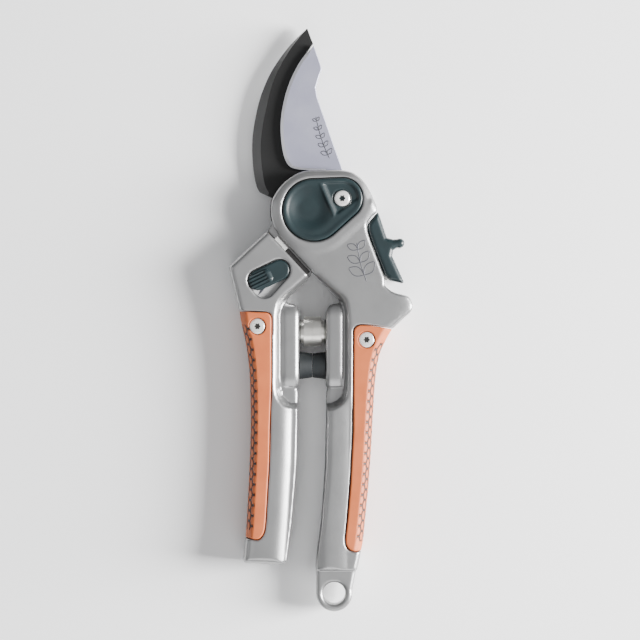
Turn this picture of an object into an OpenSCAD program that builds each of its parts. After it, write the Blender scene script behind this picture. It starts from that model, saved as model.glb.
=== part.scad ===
// Bypass pruning shears, closed and lying on their back.
// Origin: pivot axis, back face. +Y: blade tip. +Z: front face. +X: the half that stays still.

/* [Overall lengths] */
// Pivot to the centre of the hanging hole
right_len = 146.3; // [130:1:180]
// Pivot to the end of the left handle
left_len = 135.2; // [120:1:165]
// Pivot to the tip of the cutting blade
blade_len = 63.2; // [52:0.5:75]
// Pivot to the tip of the counter-blade
hook_len = 70.2; // [57:0.5:84]

/* [Thicknesses, back to front] */
// Back plate of the head
back_t = 3.6; // [3:0.1:5]
// Counter-blade
hook_t = 3.4; // [2.5:0.1:5]
// Cutting blade
blade_t = 3.0; // [2.4:0.1:4]
// Left handle's ring round the pivot
hub_t = 2.5; // [2:0.1:4]
// Thrust washer
washer_t = 0.5; // [0.3:0.1:1]
// Front cheek of the head
cheek_t = 4.8; // [4:0.1:6.5]

/* [Pivot] */
// Diameter of the pivot post
pivot_d = 8; // [6.5:0.1:10]
// Wall of the bushing that turns on the post
bushing_wall = 1.2; // [0.8:0.1:1.6]
// Radius of the head round the pivot
head_r = 16.3; // [15.8:0.1:18]
// Radius of the counter-blade's own ring
hook_ring_r = 16.7; // [16.4:0.1:18]
// Radius of the left handle's ring
hub_r = 12.4; // [11:0.1:13]

/* [Pivot cap] */
// Large radius of the cap
cap_r = 11.8; // [11:0.1:12.5]
// Small radius, round the cap screw
cap_small_r = 7.8; // [6:0.1:8]
// How deep the cap sits in the cheek
cap_depth = 1.8; // [1.4:0.1:2.4]

/* [Grips] */
// Thickness of a grip's front and back panels
grip_panel = 1.7; // [1.2:0.1:2.6]
// Thickness of a grip's outer wall
grip_wall = 2.4; // [1.6:0.1:3.2]
// Head diameter of the grip screws
grip_screw_d = 6; // [4:0.1:7]

/* [Screws] */
// Diameter of the small screws
screw_d = 3; // [2.5:0.1:3.6]
// Head diameter of the small screws
screw_head_d = 5.4; // [4.5:0.1:6]

/* [Bumpers and spring] */
// Bumper radius at the handle
bumper_r = 5.3; // [4:0.1:6]
// Outer radius of the return spring's middle coil
spring_r = 5.7; // [4.6:0.1:6]
// Radius of the spring seats' studs
stud_r = 2.2; // [1.5:0.1:2.6]

/* [Hanging loop] */
// Radius of the hanging hole
loop_hole_r = 4.25; // [3:0.05:4.6]
// Width of metal round the hanging hole
loop_wall = 2.7; // [2:0.1:3.2]
// Thickness of the loop
loop_t = 10; // [6:0.5:13]

/* [Selector and lock] */
// Radius of the selector lever's ends
lever_r = 3.9; // [3.2:0.1:4.1]
// Diameter of the selector's pin
pin_d = 3.6; // [2.6:0.1:4.4]
// Travel of the lock slider
lock_travel = 3.5; // [2:0.1:3.8]

/* [Clearances] */
// Between faces that slide on each other
slide_gap = 0.1; // [0.05:0.01:0.15]
// Between a shaft and its running bore, on the radius
run_gap = 0.05; // [0.02:0.01:0.09]
// Between curved faces of pieces that move apart
free_gap = 0.3; // [0.2:0.05:0.4]
// Round a fixed screw or pin, on the radius
fit_gap = 0.03; // [0.02:0.01:0.1]

/* [Hidden] */
$fn = 64;

// Levels, from the back face up
z_hook = back_t;
z_blade = z_hook + hook_t + slide_gap;
z_hub = z_blade + blade_t;
z_washer = z_hub + hub_t + slide_gap;
z_cheek = z_washer + washer_t;
body_t = z_cheek + cheek_t;
z_cap = body_t - cap_depth;
z_mid = body_t / 2;
through = 1;      // how far a cutting shape runs past a face
edge = 2.6;       // rounding of the castings' edges
seat_depth = 2;   // depth of a small screw's head seat
stem_r = 2.4;     // stems of the bumpers and spring seats
stem_len = 4;
bolt_head_t = 1.6;
bolt_head_r = 6.2;
post_flange_r = 7.6;
post_flange_t = 1.8;
bolt_r = pivot_d / 2 - 1.4;
bushing_r = pivot_d / 2 + run_gap + bushing_wall;

// Places
cap_screw_at = [10.9, 4.4];
right_screw_at = [20.2, -49.4];
left_screw_at = [-21.4, -44.3];
bumper_y = -59.3;
spring_y = -46.3;
mid_x = -0.46;
right_pod_x = 4.6;
left_pod_x = -5.4;
pod_top_y = -36;
pod_low_y = -67;
tail_y = -75;      // below the pods, where the handles run free
loop_at = [7.9, -right_len];
lever_at = [-13, -22.9];
lever_end = [-20.9, -26.7];
lever_low = [-18.8, -29.3];
lock_dir = [0.336, -0.942];
plate_screws = [[8.4, -25.5], [16, -26.5], [13.2, -8.6]];
hook_screws = [[10, -17.5], [16.4, -15.2]];
blade_screw_at = [[-19.5, -12.5], [-8.2, -25]];

// Step between the left handle's face and the head: a line square to this direction
step_dir = [-0.736, -0.677];
step_along = [0.677, -0.736];
step_d = 18.5;

// y of a point a share f of the way from the pods to the end of a handle
function right_y(f) = tail_y - f * (right_len + tail_y);
function left_y(f) = tail_y - f * (left_len + tail_y);
// y of a point a share f of the way from the head to a blade's tip
function blade_y(f) = 15 + f * (blade_len - 15);
function hook_y(f) = 4 + f * (hook_len - 4);

// Points on a circle's arc, and on a smooth curve through given points
function arc(c, r, a, b, n = 12) =
    [for (i = [0:n]) c + r * [cos(a + (b - a) * i / n), sin(a + (b - a) * i / n)]];
function knot(p, i) = p[max(0, min(len(p) - 1, i))];
function between(a, b, c, d, t) =
    (2 * b + (c - a) * t + (2 * a - 5 * b + 4 * c - d) * t * t
        + (3 * b - a - 3 * c + d) * t * t * t) / 2;
function curve(p, n = 4) = [
    for (i = [0:len(p) - 2], k = [0:n - 1])
        between(knot(p, i - 1), knot(p, i), knot(p, i + 1), knot(p, i + 2), k / n),
    p[len(p) - 1]
];

// Outlines, seen from the front -------------------------------------------------

// Straight lower left edge of the head, ending at the top of the gap between the handles
head_low = head_r * step_dir;
gap_top = [0.1, -24.3];
head_left = concat(
    arc([0, 0], head_r, 222.6, 165, 8),
    curve([[-13.8, 7.6], [-10.4, 11.3], [-5, 14.5], [0.3, 15.3]])
);
head_right = curve([[10.9, 15.3], [15.4, 14.1], [19.3, 10.7], [21.7, 6.8], [24.7, 0]]);
// Edge of the notch that the lock slider runs in
notch_edge = concat(
    curve([[24.4, -0.2], [21, -3.9], [20.2, -6.8], [21.7, -12.1]]),
    [[26.9, -25.6]],
    curve([[27.1, -28.7], [30, -31.1], [34.9, -32.5], [36.6, -33.6], [37.8, -35.9],
        [37.3, -38.4], [34.9, -40.8]])
);
right_outer = curve([
    [30, -45.4], [27.5, -49.9], [25.1, -55.7], [23.7, -64.5], [22.7, -79.1],
    [22.2, right_y(0.19)], [21.2, right_y(0.4)], [20.3, right_y(0.53)], [19.1, right_y(0.7)],
    [18.4, right_y(0.757)], [16.3, right_y(0.9)]
]);
right_inner = concat(
    curve([
        [0.8, right_y(0.88)], [1.3, right_y(0.77)], [2.8, right_y(0.6)], [4.2, right_y(0.328)],
        [4.6, right_y(0.12)], [4.8, tail_y]
    ]),
    [[4.8, -69.5], [5.4, -68], [right_pod_x, pod_low_y], [right_pod_x, -38.6], [6.4, pod_top_y],
        [9.9, -35.4], [9.3, -33.5]]
);

module head_face() {
    polygon(concat(
        [gap_top], [head_low], head_left, head_right, notch_edge,
        [[27, -44], [14, -36], [9.3, -33.5]]
    ));
}

module right_face() {
    polygon(concat([gap_top], [head_low], head_left, head_right, notch_edge, right_outer,
        right_inner));
}

// The part of the right handle that runs through its full thickness, clear of the moving half
module right_core() {
    polygon(concat(
        [[0.4, -24.8], [3.2, -19], [5.6, -12.6]],
        arc([0, 0], hub_r + 1, -60, -14, 8),
        [[16.5, 0.3], [22.6, 3.6], [24.7, 0]],
        notch_edge, right_outer, right_inner
    ));
}

left_outer = concat(
    [[-18.2, -8.2], [-31.2, -20.3], [-32.3, -21.5], [-32.1, -23.3]],
    curve([
        [-28.3, -38.4], [-27.6, -43.1], [-25.9, -50.9], [-24.7, -59.6], [-24.2, -69.3],
        [-24.1, left_y(0.15)], [-24.8, left_y(0.48)], [-26, left_y(0.82)], [-26.9, left_y(0.97)]
    ])
);
left_end = [[-26.3, left_y(0.99)], [-12.3, left_y(1)], [-10.1, left_y(0.98)]];
left_inner = concat(
    curve([[-8.2, left_y(0.73)], [-6.5, left_y(0.39)], [-6.1, left_y(0.15)], [-6, tail_y]]),
    [[-5.8, -69.5], [-6.2, -68], [left_pod_x, pod_low_y], [left_pod_x, -38.6], [-7, pod_top_y],
        [-9.9, -35.4], [-10.1, -33.9], [-1.2, -25.4], step_d * step_dir + 16.3 * step_along]
);

module left_face() {
    polygon(concat(left_outer, left_end, left_inner));
}

// Stack of layers whose outline draws in towards both faces
module rounded(z0, z1, r) {
    for (step = [[1, 0], [0.4, 0.25], [0, 0.7]])
        translate([0, 0, z0 + r * step[0]])
            linear_extrude(z1 - z0 - 2 * r * step[0])
                offset(delta = -r * step[1]) children();
}

module plate(z, t) {
    translate([0, 0, z]) linear_extrude(t) children();
}

module rod(at, r, z0, z1) {
    translate([at[0], at[1], z0]) cylinder(r = r, h = z1 - z0);
}

module rod_x(y, r, x0, x1) {
    translate([min(x0, x1), y, z_mid]) rotate([0, 90, 0]) cylinder(r = r, h = abs(x1 - x0));
}

// Grips ------------------------------------------------------------------------

module right_grip_face() {
    polygon(concat(
        curve([[18.6, right_y(0.766)], [15.8, right_y(0.77)], [13.6, right_y(0.759)],
            [12.4, right_y(0.732)], [12.2, right_y(0.7)]], 2),
        [[13, right_y(0.6)], [14.2, right_y(0.4)], [15.2, right_y(0.12)], [15.3, -50]],
        arc([17.9, -46.5], 2.6, 180, 90, 5),
        [[21.7, -44], [29.8, -45.4], [34, -45.8], [34, right_y(0.75)]]
    ));
}

module left_grip_face() {
    polygon(concat(
        [[-34, -38.4], [-19.1, -39]], arc([-18.6, -41.6], 2.6, 80, 0, 5),
        [[-16, -64.5], [-16.7, left_y(0.15)], [-16.9, left_y(0.35)]],
        curve([[-17.9, left_y(0.63)], [-18.3, left_y(0.73)], [-19, left_y(0.797)],
            [-21.2, left_y(0.836)], [-25.2, left_y(0.827)]], 2),
        [[-34, left_y(0.81)]]
    ));
}

// What a grip wraps round: child 0 is the grip's outline, child 1 the casting's
module grip_core(outward) {
    plate(grip_panel, body_t - 2 * grip_panel) intersection() {
        translate([-outward * grip_wall, 0]) children(1);
        children(0);
    }
}

// A panel on each face, joined by a wall down the outer side
module grip_solid(outward) {
    difference() {
        rounded(0, body_t, edge) intersection() {
            children(0);
            children(1);
        }
        grip_core(outward) {
            children(0);
            children(1);
        }
    }
}

// Room that a casting leaves for its grip
module grip_space(outward) {
    difference() {
        plate(-through, body_t + 2 * through) intersection() {
            children(0);
            offset(delta = through) children(1);
        }
        grip_core(outward) {
            children(0);
            children(1);
        }
    }
}

module right_grip() {
    color("#D99C7C") difference() {
        grip_solid(1) {
            right_grip_face();
            right_face();
        }
        rod(right_screw_at, grip_screw_d / 2 + fit_gap, z_mid, body_t + through);
    }
}

module left_grip() {
    color("#D99C7C") difference() {
        grip_solid(-1) {
            left_grip_face();
            left_face();
        }
        rod(left_screw_at, grip_screw_d / 2 + fit_gap, z_mid, body_t + through);
    }
}

// Pan-head screw with a hexagonal drive recess, its head at the given level
module screw(at, head_r, head_t, shank_r, z_head, z_tip) {
    translate([at[0], at[1], 0]) difference() {
        union() {
            translate([0, 0, z_head]) cylinder(r = head_r, h = head_t);
            translate([0, 0, z_tip]) cylinder(r = shank_r, h = z_head - z_tip);
        }
        translate([0, 0, z_head + head_t * 0.45])
            cylinder(r = head_r * 0.36, h = head_t, $fn = 6);
    }
}

module back_screw(at, z_tip) {
    translate([0, 0, body_t]) rotate([180, 0, 0])
        screw([at[0], -at[1]], screw_head_d / 2, seat_depth - 0.2, screw_d / 2,
            body_t - seat_depth, body_t - z_tip);
}

module right_grip_screw() {
    color("#D8D8D4")
        screw(right_screw_at, grip_screw_d / 2, grip_panel, screw_d / 2,
            body_t - grip_panel, 6);
}

module left_grip_screw() {
    color("#D8D8D4")
        screw(left_screw_at, grip_screw_d / 2, grip_panel, screw_d / 2,
            body_t - grip_panel, 6);
}

// Castings ---------------------------------------------------------------------

// Hollows round the spring and bumper mounts, on both faces
module pod_hollow(x0, x1) {
    for (z = [-through, body_t - 2.4])
        plate(z, 2.4 + through)
            polygon([[x0, -35], [x1, -39], [x1, -70], [x0, -75]]);
}

module loop_pad() {
    circle(r = loop_hole_r + loop_wall);
}

module right_handle() {
    color("#A3A3A3") difference() {
        union() {
            rounded(0, body_t, edge) intersection() {
                right_core();
                translate([-50, right_y(0.875)]) square([100, 60 - right_y(0.875)]);
            }
            plate(z_cheek, cheek_t) head_face();
            plate(z_mid - loop_t / 2, loop_t) {
                translate(loop_at) loop_pad();
                polygon([[0.9, right_y(0.87)], [16.6, right_y(0.87)], [14.7, loop_at[1] + 0.8],
                    [1, loop_at[1] + 0.8]]);
            }
        }
        // seats of the back plate and the counter-blade
        plate(-through, z_hook + through) back_face();
        plate(z_hook - slide_gap, hook_t + slide_gap) {
            hook_tail();
            circle(r = hook_ring_r);
        }
        grip_space(1) {
            right_grip_face();
            right_face();
        }
        pod_hollow(right_pod_x - 1, 10.6);
        // pivot: bore, bolt-head seat and cap seat
        rod([0, 0], pivot_d / 2 + fit_gap, z_cheek - through, body_t);
        rod([0, 0], bolt_head_r + fit_gap, z_cap - bolt_head_t, body_t);
        plate(z_cap, cap_depth + through) cap_face(0.15);
        rod(cap_screw_at, screw_d / 2 + fit_gap, z_cheek + 0.4, body_t);
        rod(loop_at, loop_hole_r, -through, body_t + through);
        rod(right_screw_at, screw_d / 2 + fit_gap, 6, body_t);
        for (p = plate_screws) rod(p, screw_d / 2 + fit_gap, 0, 10);
        for (p = hook_screws) rod(p, screw_d / 2 + fit_gap, z_hook, 11);
        rod_x(bumper_y, stem_r + fit_gap, right_pod_x - through, right_pod_x + stem_len);
        rod_x(spring_y, stem_r + fit_gap, right_pod_x - through, right_pod_x + stem_len);
        guide_strip(fit_gap);
        lock_pocket();
    }
}

module back_face() {
    polygon(concat(
        [gap_top + [1.2, 0.6]], [head_low], head_left, head_right, [[19.2, -3], [18.6, -8],
            [22.5, -19], [23.5, -27], [19, -31], [9, -30.5]]
    ));
}

module back_plate() {
    color("#9A9A9A") difference() {
        plate(0, back_t) back_face();
        rod([0, 0], post_flange_r + fit_gap, -through, post_flange_t);
        rod([0, 0], pivot_d / 2 + fit_gap, 0, back_t + through);
        for (p = plate_screws) {
            rod(p, screw_head_d / 2 + fit_gap, -through, seat_depth);
            rod(p, screw_d / 2 + fit_gap, 0, back_t + through);
        }
    }
}

module back_plate_screws() {
    color("#C8C8C4") for (p = plate_screws) back_screw(p, 10);
}

// Blades -----------------------------------------------------------------------

// Foot of the counter-blade, which is screwed into the right handle
module hook_tail() {
    polygon([[-4, -hook_ring_r + 3], [8, -20.5], [12, -21.2], [19.6, -18], [21.2, -13.6],
        [18.4, -7], [13, 6], [0, 0]]);
}

hook_back = curve([
    [-15.7, 4.8], [-17.4, 5.8], [-20.1, 6.8], [-21.9, 9.2], [-22.9, 14.1], [-23.5, 19.9],
    [-23.6, hook_y(0.34)], [-22.9, hook_y(0.436)], [-21.5, hook_y(0.542)],
    [-19.6, hook_y(0.637)], [-16.2, hook_y(0.75)], [-11.3, hook_y(0.86)],
    [-6.5, hook_y(0.943)], [-2.5, hook_y(1)]
], 3);
// The edge that the cutting blade passes
hook_edge = curve([
    [-0.2, hook_y(0.91)], [-5, hook_y(0.8)], [-9.2, hook_y(0.66)], [-10.8, hook_y(0.52)],
    [-10.6, hook_y(0.38)], [-8.6, hook_y(0.24)], [-4, hook_y(0.19)]
], 3);

module counter_blade() {
    color("#3A3A3A") difference() {
        plate(z_hook, hook_t) {
            polygon(concat([[0, 0]], hook_back, hook_edge, [[0, 0]]));
            circle(r = hook_ring_r);
            hook_tail();
        }
        rod([0, 0], pivot_d / 2 + fit_gap, 0, z_blade);
        for (p = hook_screws) {
            rod(p, screw_head_d / 2 + fit_gap, 0, z_hook + 1.4);
            rod(p, screw_d / 2 + fit_gap, 0, z_blade);
        }
        for (p = plate_screws) rod(p, screw_d / 2 + fit_gap, 0, z_blade);
    }
}

module counter_blade_screws() {
    color("#C8C8C4") for (p = hook_screws)
        translate([0, 0, z_hook])
            difference() {
                union() {
                    rod(p, screw_head_d / 2, 0, 1.4);
                    rod(p, screw_d / 2, 1.4, 11 - z_hook);
                }
                translate([p[0], p[1], -through]) cylinder(r = 1, h = 1.8, $fn = 6);
            }
}

// Foot of the cutting blade, which lies in the left handle
module blade_tang() {
    polygon([[-11, -2], [-16.4, -5.6], [-18.4, -9.4], [-23, -13.6], [-21.2, -18.6], [-12, -27.6],
        [-5.6, -28.4], [-1.8, -25], [-0.6, -23.6], [1.4, -18.6], [4, -11], [0, 0]]);
}

blade_right = [
    [11.3, blade_y(0)], [1.4, blade_y(0.585)], [0.8, blade_y(0.665)]
];
blade_spine = curve([
    [0.8, blade_y(0.665)], [2.3, blade_y(0.77)], [2.9, blade_y(0.8)], [2.8, blade_y(0.835)],
    [0.1, blade_y(1)]
], 3);
blade_cut = curve([
    [-4.5, blade_y(0.893)], [-7.9, blade_y(0.77)], [-10.4, blade_y(0.637)],
    [-12, blade_y(0.494)], [-12.6, blade_y(0.369)], [-12.4, blade_y(0.257)],
    [-11.7, blade_y(0.155)], [-10.6, blade_y(0.083)], [-8.9, blade_y(0.037)],
    [-5.9, blade_y(0.017)], [-0.6, blade_y(0.012)]
], 3);

module cutting_blade() {
    color("#B2B2BC") difference() {
        plate(z_blade, blade_t) {
            polygon(concat([[10.9, 2]], blade_right, blade_spine, blade_cut, [[-3.5, 11], [0, 0]]));
            circle(r = hub_r - 1);
            blade_tang();
        }
        rod([0, 0], bushing_r + fit_gap, z_hook, z_cheek);
        for (p = blade_screw_at) rod(p, screw_d / 2 + fit_gap, 0, body_t);
    }
}

module blade_screws() {
    color("#C8C8C4") for (p = blade_screw_at) back_screw(p, z_hub + 0.8);
}

// Left handle: ring over the blade, neck, and the body outside the step
module neck_face() {
    polygon([[-11.4, -2], [-15.9, -4], [-16.4, -5.6], [-18.2, -8.4], step_d * step_dir,
        [-2, -25], [-1.2, -25.4], [-0.7, -23.9], [1.4, -18.6], [4.2, -11.4], [0, 0]]);
}

module left_handle() {
    color("#A3A3A3") difference() {
        union() {
            rounded(0, body_t, edge) left_face();
            plate(z_hub, hub_t) {
                circle(r = hub_r);
                neck_face();
            }
        }
        plate(z_blade, blade_t) blade_tang();
        rod([0, 0], bushing_r + fit_gap, z_hook, z_cheek);
        grip_space(-1) {
            left_grip_face();
            left_face();
        }
        pod_hollow(left_pod_x + 1, -11.4);
        for (p = blade_screw_at) {
            rod(p, screw_head_d / 2 + fit_gap, -through, seat_depth);
            rod(p, screw_d / 2 + fit_gap, 0, z_hub + 0.8);
        }
        rod(left_screw_at, screw_d / 2 + fit_gap, 6, body_t);
        rod_x(bumper_y, stem_r + fit_gap, left_pod_x + through, left_pod_x - stem_len);
        rod_x(spring_y, stem_r + fit_gap, left_pod_x + through, left_pod_x - stem_len);
        plate(z_window, body_t) window_face();
        rod(lever_at, pin_d / 2 + run_gap, z_hub + 1, body_t);
    }
}

// Pivot ------------------------------------------------------------------------

// Sleeve nut: a flat head flush with the back, and the barrel that the left half turns on
module pivot_post() {
    color("#B8B8B4") difference() {
        union() {
            cylinder(r = post_flange_r, h = post_flange_t);
            cylinder(r = pivot_d / 2, h = z_cap - bolt_head_t);
        }
        rod([0, 0], bolt_r + fit_gap, back_t, body_t);
    }
}

module pivot_bolt() {
    color("#B8B8B4") difference() {
        union() {
            rod([0, 0], bolt_head_r, z_cap - bolt_head_t, z_cap);
            rod([0, 0], bolt_r, back_t + 0.4, z_cap - bolt_head_t);
        }
        translate([0, 0, z_cap - 1]) cylinder(r = 2.2, h = 2, $fn = 6);
    }
}

module thrust_washer() {
    color("#B08D57") difference() {
        rod([0, 0], hub_r - 1.4, z_washer, z_cheek);
        rod([0, 0], pivot_d / 2 + fit_gap, 0, body_t);
    }
}

module pivot_bushing() {
    color("#B08D57") difference() {
        rod([0, 0], bushing_r, z_blade, z_hub + hub_t);
        rod([0, 0], pivot_d / 2 + run_gap, 0, body_t);
    }
}

module cap_face(grow) {
    hull() {
        circle(r = cap_r + grow);
        translate(cap_screw_at) circle(r = cap_small_r + grow);
    }
}

module pivot_cap() {
    color("#334148") difference() {
        union() {
            plate(z_cap, cap_depth - 0.4) cap_face(0);
            plate(z_cap, cap_depth) cap_face(-1.2);
        }
        rod([-0.6, 1], 6.4, z_cap + cap_depth * 0.5, body_t + through);
        rod(cap_screw_at, grip_screw_d / 2 + 0.4, body_t - 1.2, body_t + through);
        rod(cap_screw_at, screw_d / 2 + fit_gap, 0, body_t);
    }
}

module cap_screw() {
    color("#D8D8D4")
        screw(cap_screw_at, grip_screw_d / 2, 1.1, screw_d / 2, body_t - 1.2, z_cheek + 0.5);
}

// Bumpers and spring -----------------------------------------------------------

// Rubber buffer on the x axis, from a handle's pod to just short of the middle
module bumper(pod_x) {
    side = sign(pod_x - mid_x);
    reach = abs(pod_x - mid_x) - slide_gap;
    translate([pod_x, bumper_y, z_mid]) rotate([0, -90 * side, 0]) {
        cylinder(r1 = bumper_r, r2 = bumper_r - 0.7, h = reach);
        translate([0, 0, -stem_len + 0.2]) cylinder(r = stem_r, h = stem_len);
    }
}

module right_bumper() {
    color("#3F464A") bumper(right_pod_x);
}

module left_bumper() {
    color("#3F464A") bumper(left_pod_x);
}

module spring_seat(pod_x) {
    side = sign(pod_x - mid_x);
    translate([pod_x, spring_y, z_mid]) rotate([0, -90 * side, 0]) {
        cylinder(r = 4.6, h = 0.5);
        translate([0, 0, 0.4]) cylinder(r = stud_r, h = 1.8);
        translate([0, 0, -stem_len + 0.2]) cylinder(r = stem_r, h = stem_len);
    }
}

module right_spring_seat() {
    color("#B8B8B4") spring_seat(right_pod_x);
}

module left_spring_seat() {
    color("#B8B8B4") spring_seat(left_pod_x);
}

// Volute spring: a hollow double cone, widest at its middle
spring_wall = 1.6;
spring_half = (right_pod_x - left_pod_x) / 2 - 0.6;

module return_spring() {
    color("#C4C4C0")
        translate([(right_pod_x + left_pod_x) / 2, spring_y, z_mid]) rotate([0, 90, 0])
            rotate_extrude() polygon([
                [spring_r - 1.2 - spring_wall, -spring_half], [spring_r - 1.2, -spring_half],
                [spring_r - 1.2, -spring_half + 1.2], [spring_r, -spring_half + 1.4],
                [spring_r, spring_half - 1.4], [spring_r - 1.2, spring_half - 1.2],
                [spring_r - 1.2, spring_half], [spring_r - 1.2 - spring_wall, spring_half]
            ]);
}

// Step strips on the left half ---------------------------------------------------

module step_block(s0, s1, inner_d) {
    polygon([
        inner_d * step_dir + s0 * step_along, inner_d * step_dir + s1 * step_along,
        step_d * step_dir + s1 * step_along, step_d * step_dir + s0 * step_along
    ]);
}

module stop_pawl() {
    color("#C8C8C4") plate(z_hub + hub_t, 3) step_block(-2, 4, head_r + 0.6);
}

module edge_buffer() {
    color("#26282A") plate(z_hub + hub_t, 2.6) step_block(4.4, 16.4, head_r + 0.6);
}

// Selector ---------------------------------------------------------------------

floor_t = 0.6;
window_depth = 3.6;
z_window = body_t - window_depth;

module window_face() {
    hull() for (p = [lever_at, lever_end, lever_low])
        translate(p) circle(r = lever_r + free_gap);
}

module selector_floor() {
    color("#B8B8B8") difference() {
        plate(z_window, floor_t) offset(delta = -0.1) window_face();
        rod(lever_at, pin_d / 2 + 0.2, 0, body_t);
    }
}

module selector_lever() {
    z0 = z_window + floor_t + slide_gap;
    aim = atan2(lever_end[1] - lever_at[1], lever_end[0] - lever_at[0]);
    color("#334148") difference() {
        union() {
            plate(z0, body_t - 0.8 - z0) hull() for (p = [lever_at, lever_end])
                translate(p) circle(r = lever_r);
            translate(lever_end) rotate([0, 0, aim])
                for (y = [-1.5, 0, 1.5])
                    translate([-2.6, y - 0.4, body_t - 0.9]) cube([5.8, 0.8, 0.8]);
        }
        rod(lever_at, pin_d / 2 + fit_gap, 0, body_t - 1.6);
    }
}

module selector_pin() {
    color("#B8B8B4") rod(lever_at, pin_d / 2, z_hub + 1.2, body_t - 1.7);
}

// Lock -------------------------------------------------------------------------

// A strip beside the notch's straight edge, from s0 to s1 along it, out to the given widths
notch_a = [21.7, -12.1];
lock_out = [0.942, 0.336];

module lock_strip(s0, s1, w0, w1) {
    polygon([
        notch_a + s0 * lock_dir + w0 * lock_out, notch_a + s1 * lock_dir + w0 * lock_out,
        notch_a + s1 * lock_dir + w1 * lock_out, notch_a + s0 * lock_dir + w1 * lock_out
    ]);
}

guide_t = 3;

module guide_strip(grow) {
    plate(z_mid - guide_t / 2 - grow, guide_t + 2 * grow) lock_strip(-3, 16, -3 - grow, 3.2);
}

module slider_guide() {
    color("#D8D8D4") guide_strip(0);
}

module lock_pocket() {
    plate(z_mid + 2, 2.4) {
        lock_strip(1.2, 5 + lock_travel + 1.2, -5, 1);
        lock_strip(10.5, 20, -2.8, -0.4);
    }
}

module slider_face() {
    polygon(concat(
        [[24.7, -0.9]],
        curve([[24.4, -0.9], [21.5, -4.2], [20.6, -6.9], [22.1, -12.1]]),
        [[27, -24.7], [29, -26.7], [34.2, -27.9], [34.4, -27.2], [30, -17.5], [30.4, -15.2]],
        arc([32.9, -12.6], 1.8, -115, 115, 10),
        [[30.4, -11.2], [28, -10.6]]
    ));
}

module lock_slider() {
    color("#334148") difference() {
        rounded(1.4, body_t - 1.4, 1.6) slider_face();
        plate(z_mid - guide_t / 2 - 0.25, guide_t + 0.5)
            lock_strip(-14, 22, -6, 3.2 + free_gap);
        plate(z_mid + 2, 2) lock_strip(2, 5, -1, 3);
    }
}

module lock_tongue() {
    color("#B8B8B4") plate(z_mid + 2.2, 1.8) lock_strip(2, 5, -4.2, 3);
}

module detent_spring() {
    color("#C8C8C4") plate(z_mid + 2.2, 1.8) lock_strip(10.7, 19.8, -2, -1.6);
}

right_handle();
back_plate();
back_plate_screws();
counter_blade();
counter_blade_screws();
pivot_post();
pivot_bolt();
thrust_washer();
pivot_cap();
cap_screw();
right_grip();
right_grip_screw();
right_bumper();
right_spring_seat();
slider_guide();
detent_spring();
left_handle();
cutting_blade();
blade_screws();
pivot_bushing();
left_grip();
left_grip_screw();
left_bumper();
left_spring_seat();
return_spring();
stop_pawl();
edge_buffer();
selector_floor();
selector_lever();
selector_pin();
lock_slider();
lock_tongue();
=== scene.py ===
"""Bypass pruning shears: cast halves, blades, grips, cap, lock and spring, round the frame."""
import logging
import math
from dataclasses import dataclass
from enum import Enum
from typing import Sequence

import bpy
import numpy as np
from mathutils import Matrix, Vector


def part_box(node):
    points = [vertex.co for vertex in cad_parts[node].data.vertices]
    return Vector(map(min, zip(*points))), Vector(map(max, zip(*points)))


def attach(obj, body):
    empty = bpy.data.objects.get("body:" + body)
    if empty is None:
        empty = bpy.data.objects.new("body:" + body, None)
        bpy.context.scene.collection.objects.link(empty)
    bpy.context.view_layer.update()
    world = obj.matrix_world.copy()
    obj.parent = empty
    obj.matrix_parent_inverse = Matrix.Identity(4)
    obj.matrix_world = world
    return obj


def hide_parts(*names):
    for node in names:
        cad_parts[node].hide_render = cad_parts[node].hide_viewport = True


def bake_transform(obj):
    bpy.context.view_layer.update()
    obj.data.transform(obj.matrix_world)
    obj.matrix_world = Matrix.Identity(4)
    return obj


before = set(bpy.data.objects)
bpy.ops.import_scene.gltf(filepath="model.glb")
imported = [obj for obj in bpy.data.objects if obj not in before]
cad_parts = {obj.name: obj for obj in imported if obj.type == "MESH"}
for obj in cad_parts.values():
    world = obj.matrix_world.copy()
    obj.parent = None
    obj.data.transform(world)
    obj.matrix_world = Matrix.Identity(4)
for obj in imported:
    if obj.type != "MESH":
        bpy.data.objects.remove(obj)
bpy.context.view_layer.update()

MM = 0.001
Material = bpy.types.Material
Node = bpy.types.Node
Object = bpy.types.Object
Socket = bpy.types.NodeSocket
Tree = bpy.types.NodeTree
LOG = logging.getLogger("shears")
Array = np.ndarray
Mesh = tuple[Array, Array]         # vertices in mm and quads
MarkedMesh = tuple[Array, Array, Array]    # the same, and one number for each vertex
Point = tuple[float, float]
Place = tuple[float, float, float]
POINT_R = 1e-3                     # radius that stands for a point on an axis, in mm


class Body(Enum):
    """The moving groups of the frame."""

    RIGHT = "right_half"
    LEFT = "left_half"
    SELECTOR = "selector"
    LOCK = "lock"


# --- Sizes read from the frame, in mm ----------------------------------------------------


def box_mm(node: str) -> tuple[Array, Array]:
    """Lowest and highest corner of a CAD node.

    Args:
        node: the node's name.

    Returns:
        The two corners in mm.
    """
    low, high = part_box(node)
    return np.array(low) / MM, np.array(high) / MM


@dataclass(frozen=True)
class Levels:
    """Heights of the stacked plates above the back face."""

    back_top: float = float(box_mm("back_plate")[1][2])
    hook_low: float = float(box_mm("counter_blade")[0][2])
    hook_top: float = float(box_mm("counter_blade")[1][2])
    blade_low: float = float(box_mm("cutting_blade")[0][2])
    blade_top: float = float(box_mm("cutting_blade")[1][2])
    hub_top: float = float(box_mm("pivot_bushing")[1][2])
    cheek_low: float = float(box_mm("thrust_washer")[1][2])
    cap_low: float = float(box_mm("pivot_cap")[0][2])
    top: float = float(box_mm("right_handle")[1][2])

    @property
    def mid(self) -> float:
        """Height of the plane halfway through the shears."""
        return self.top / 2


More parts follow.
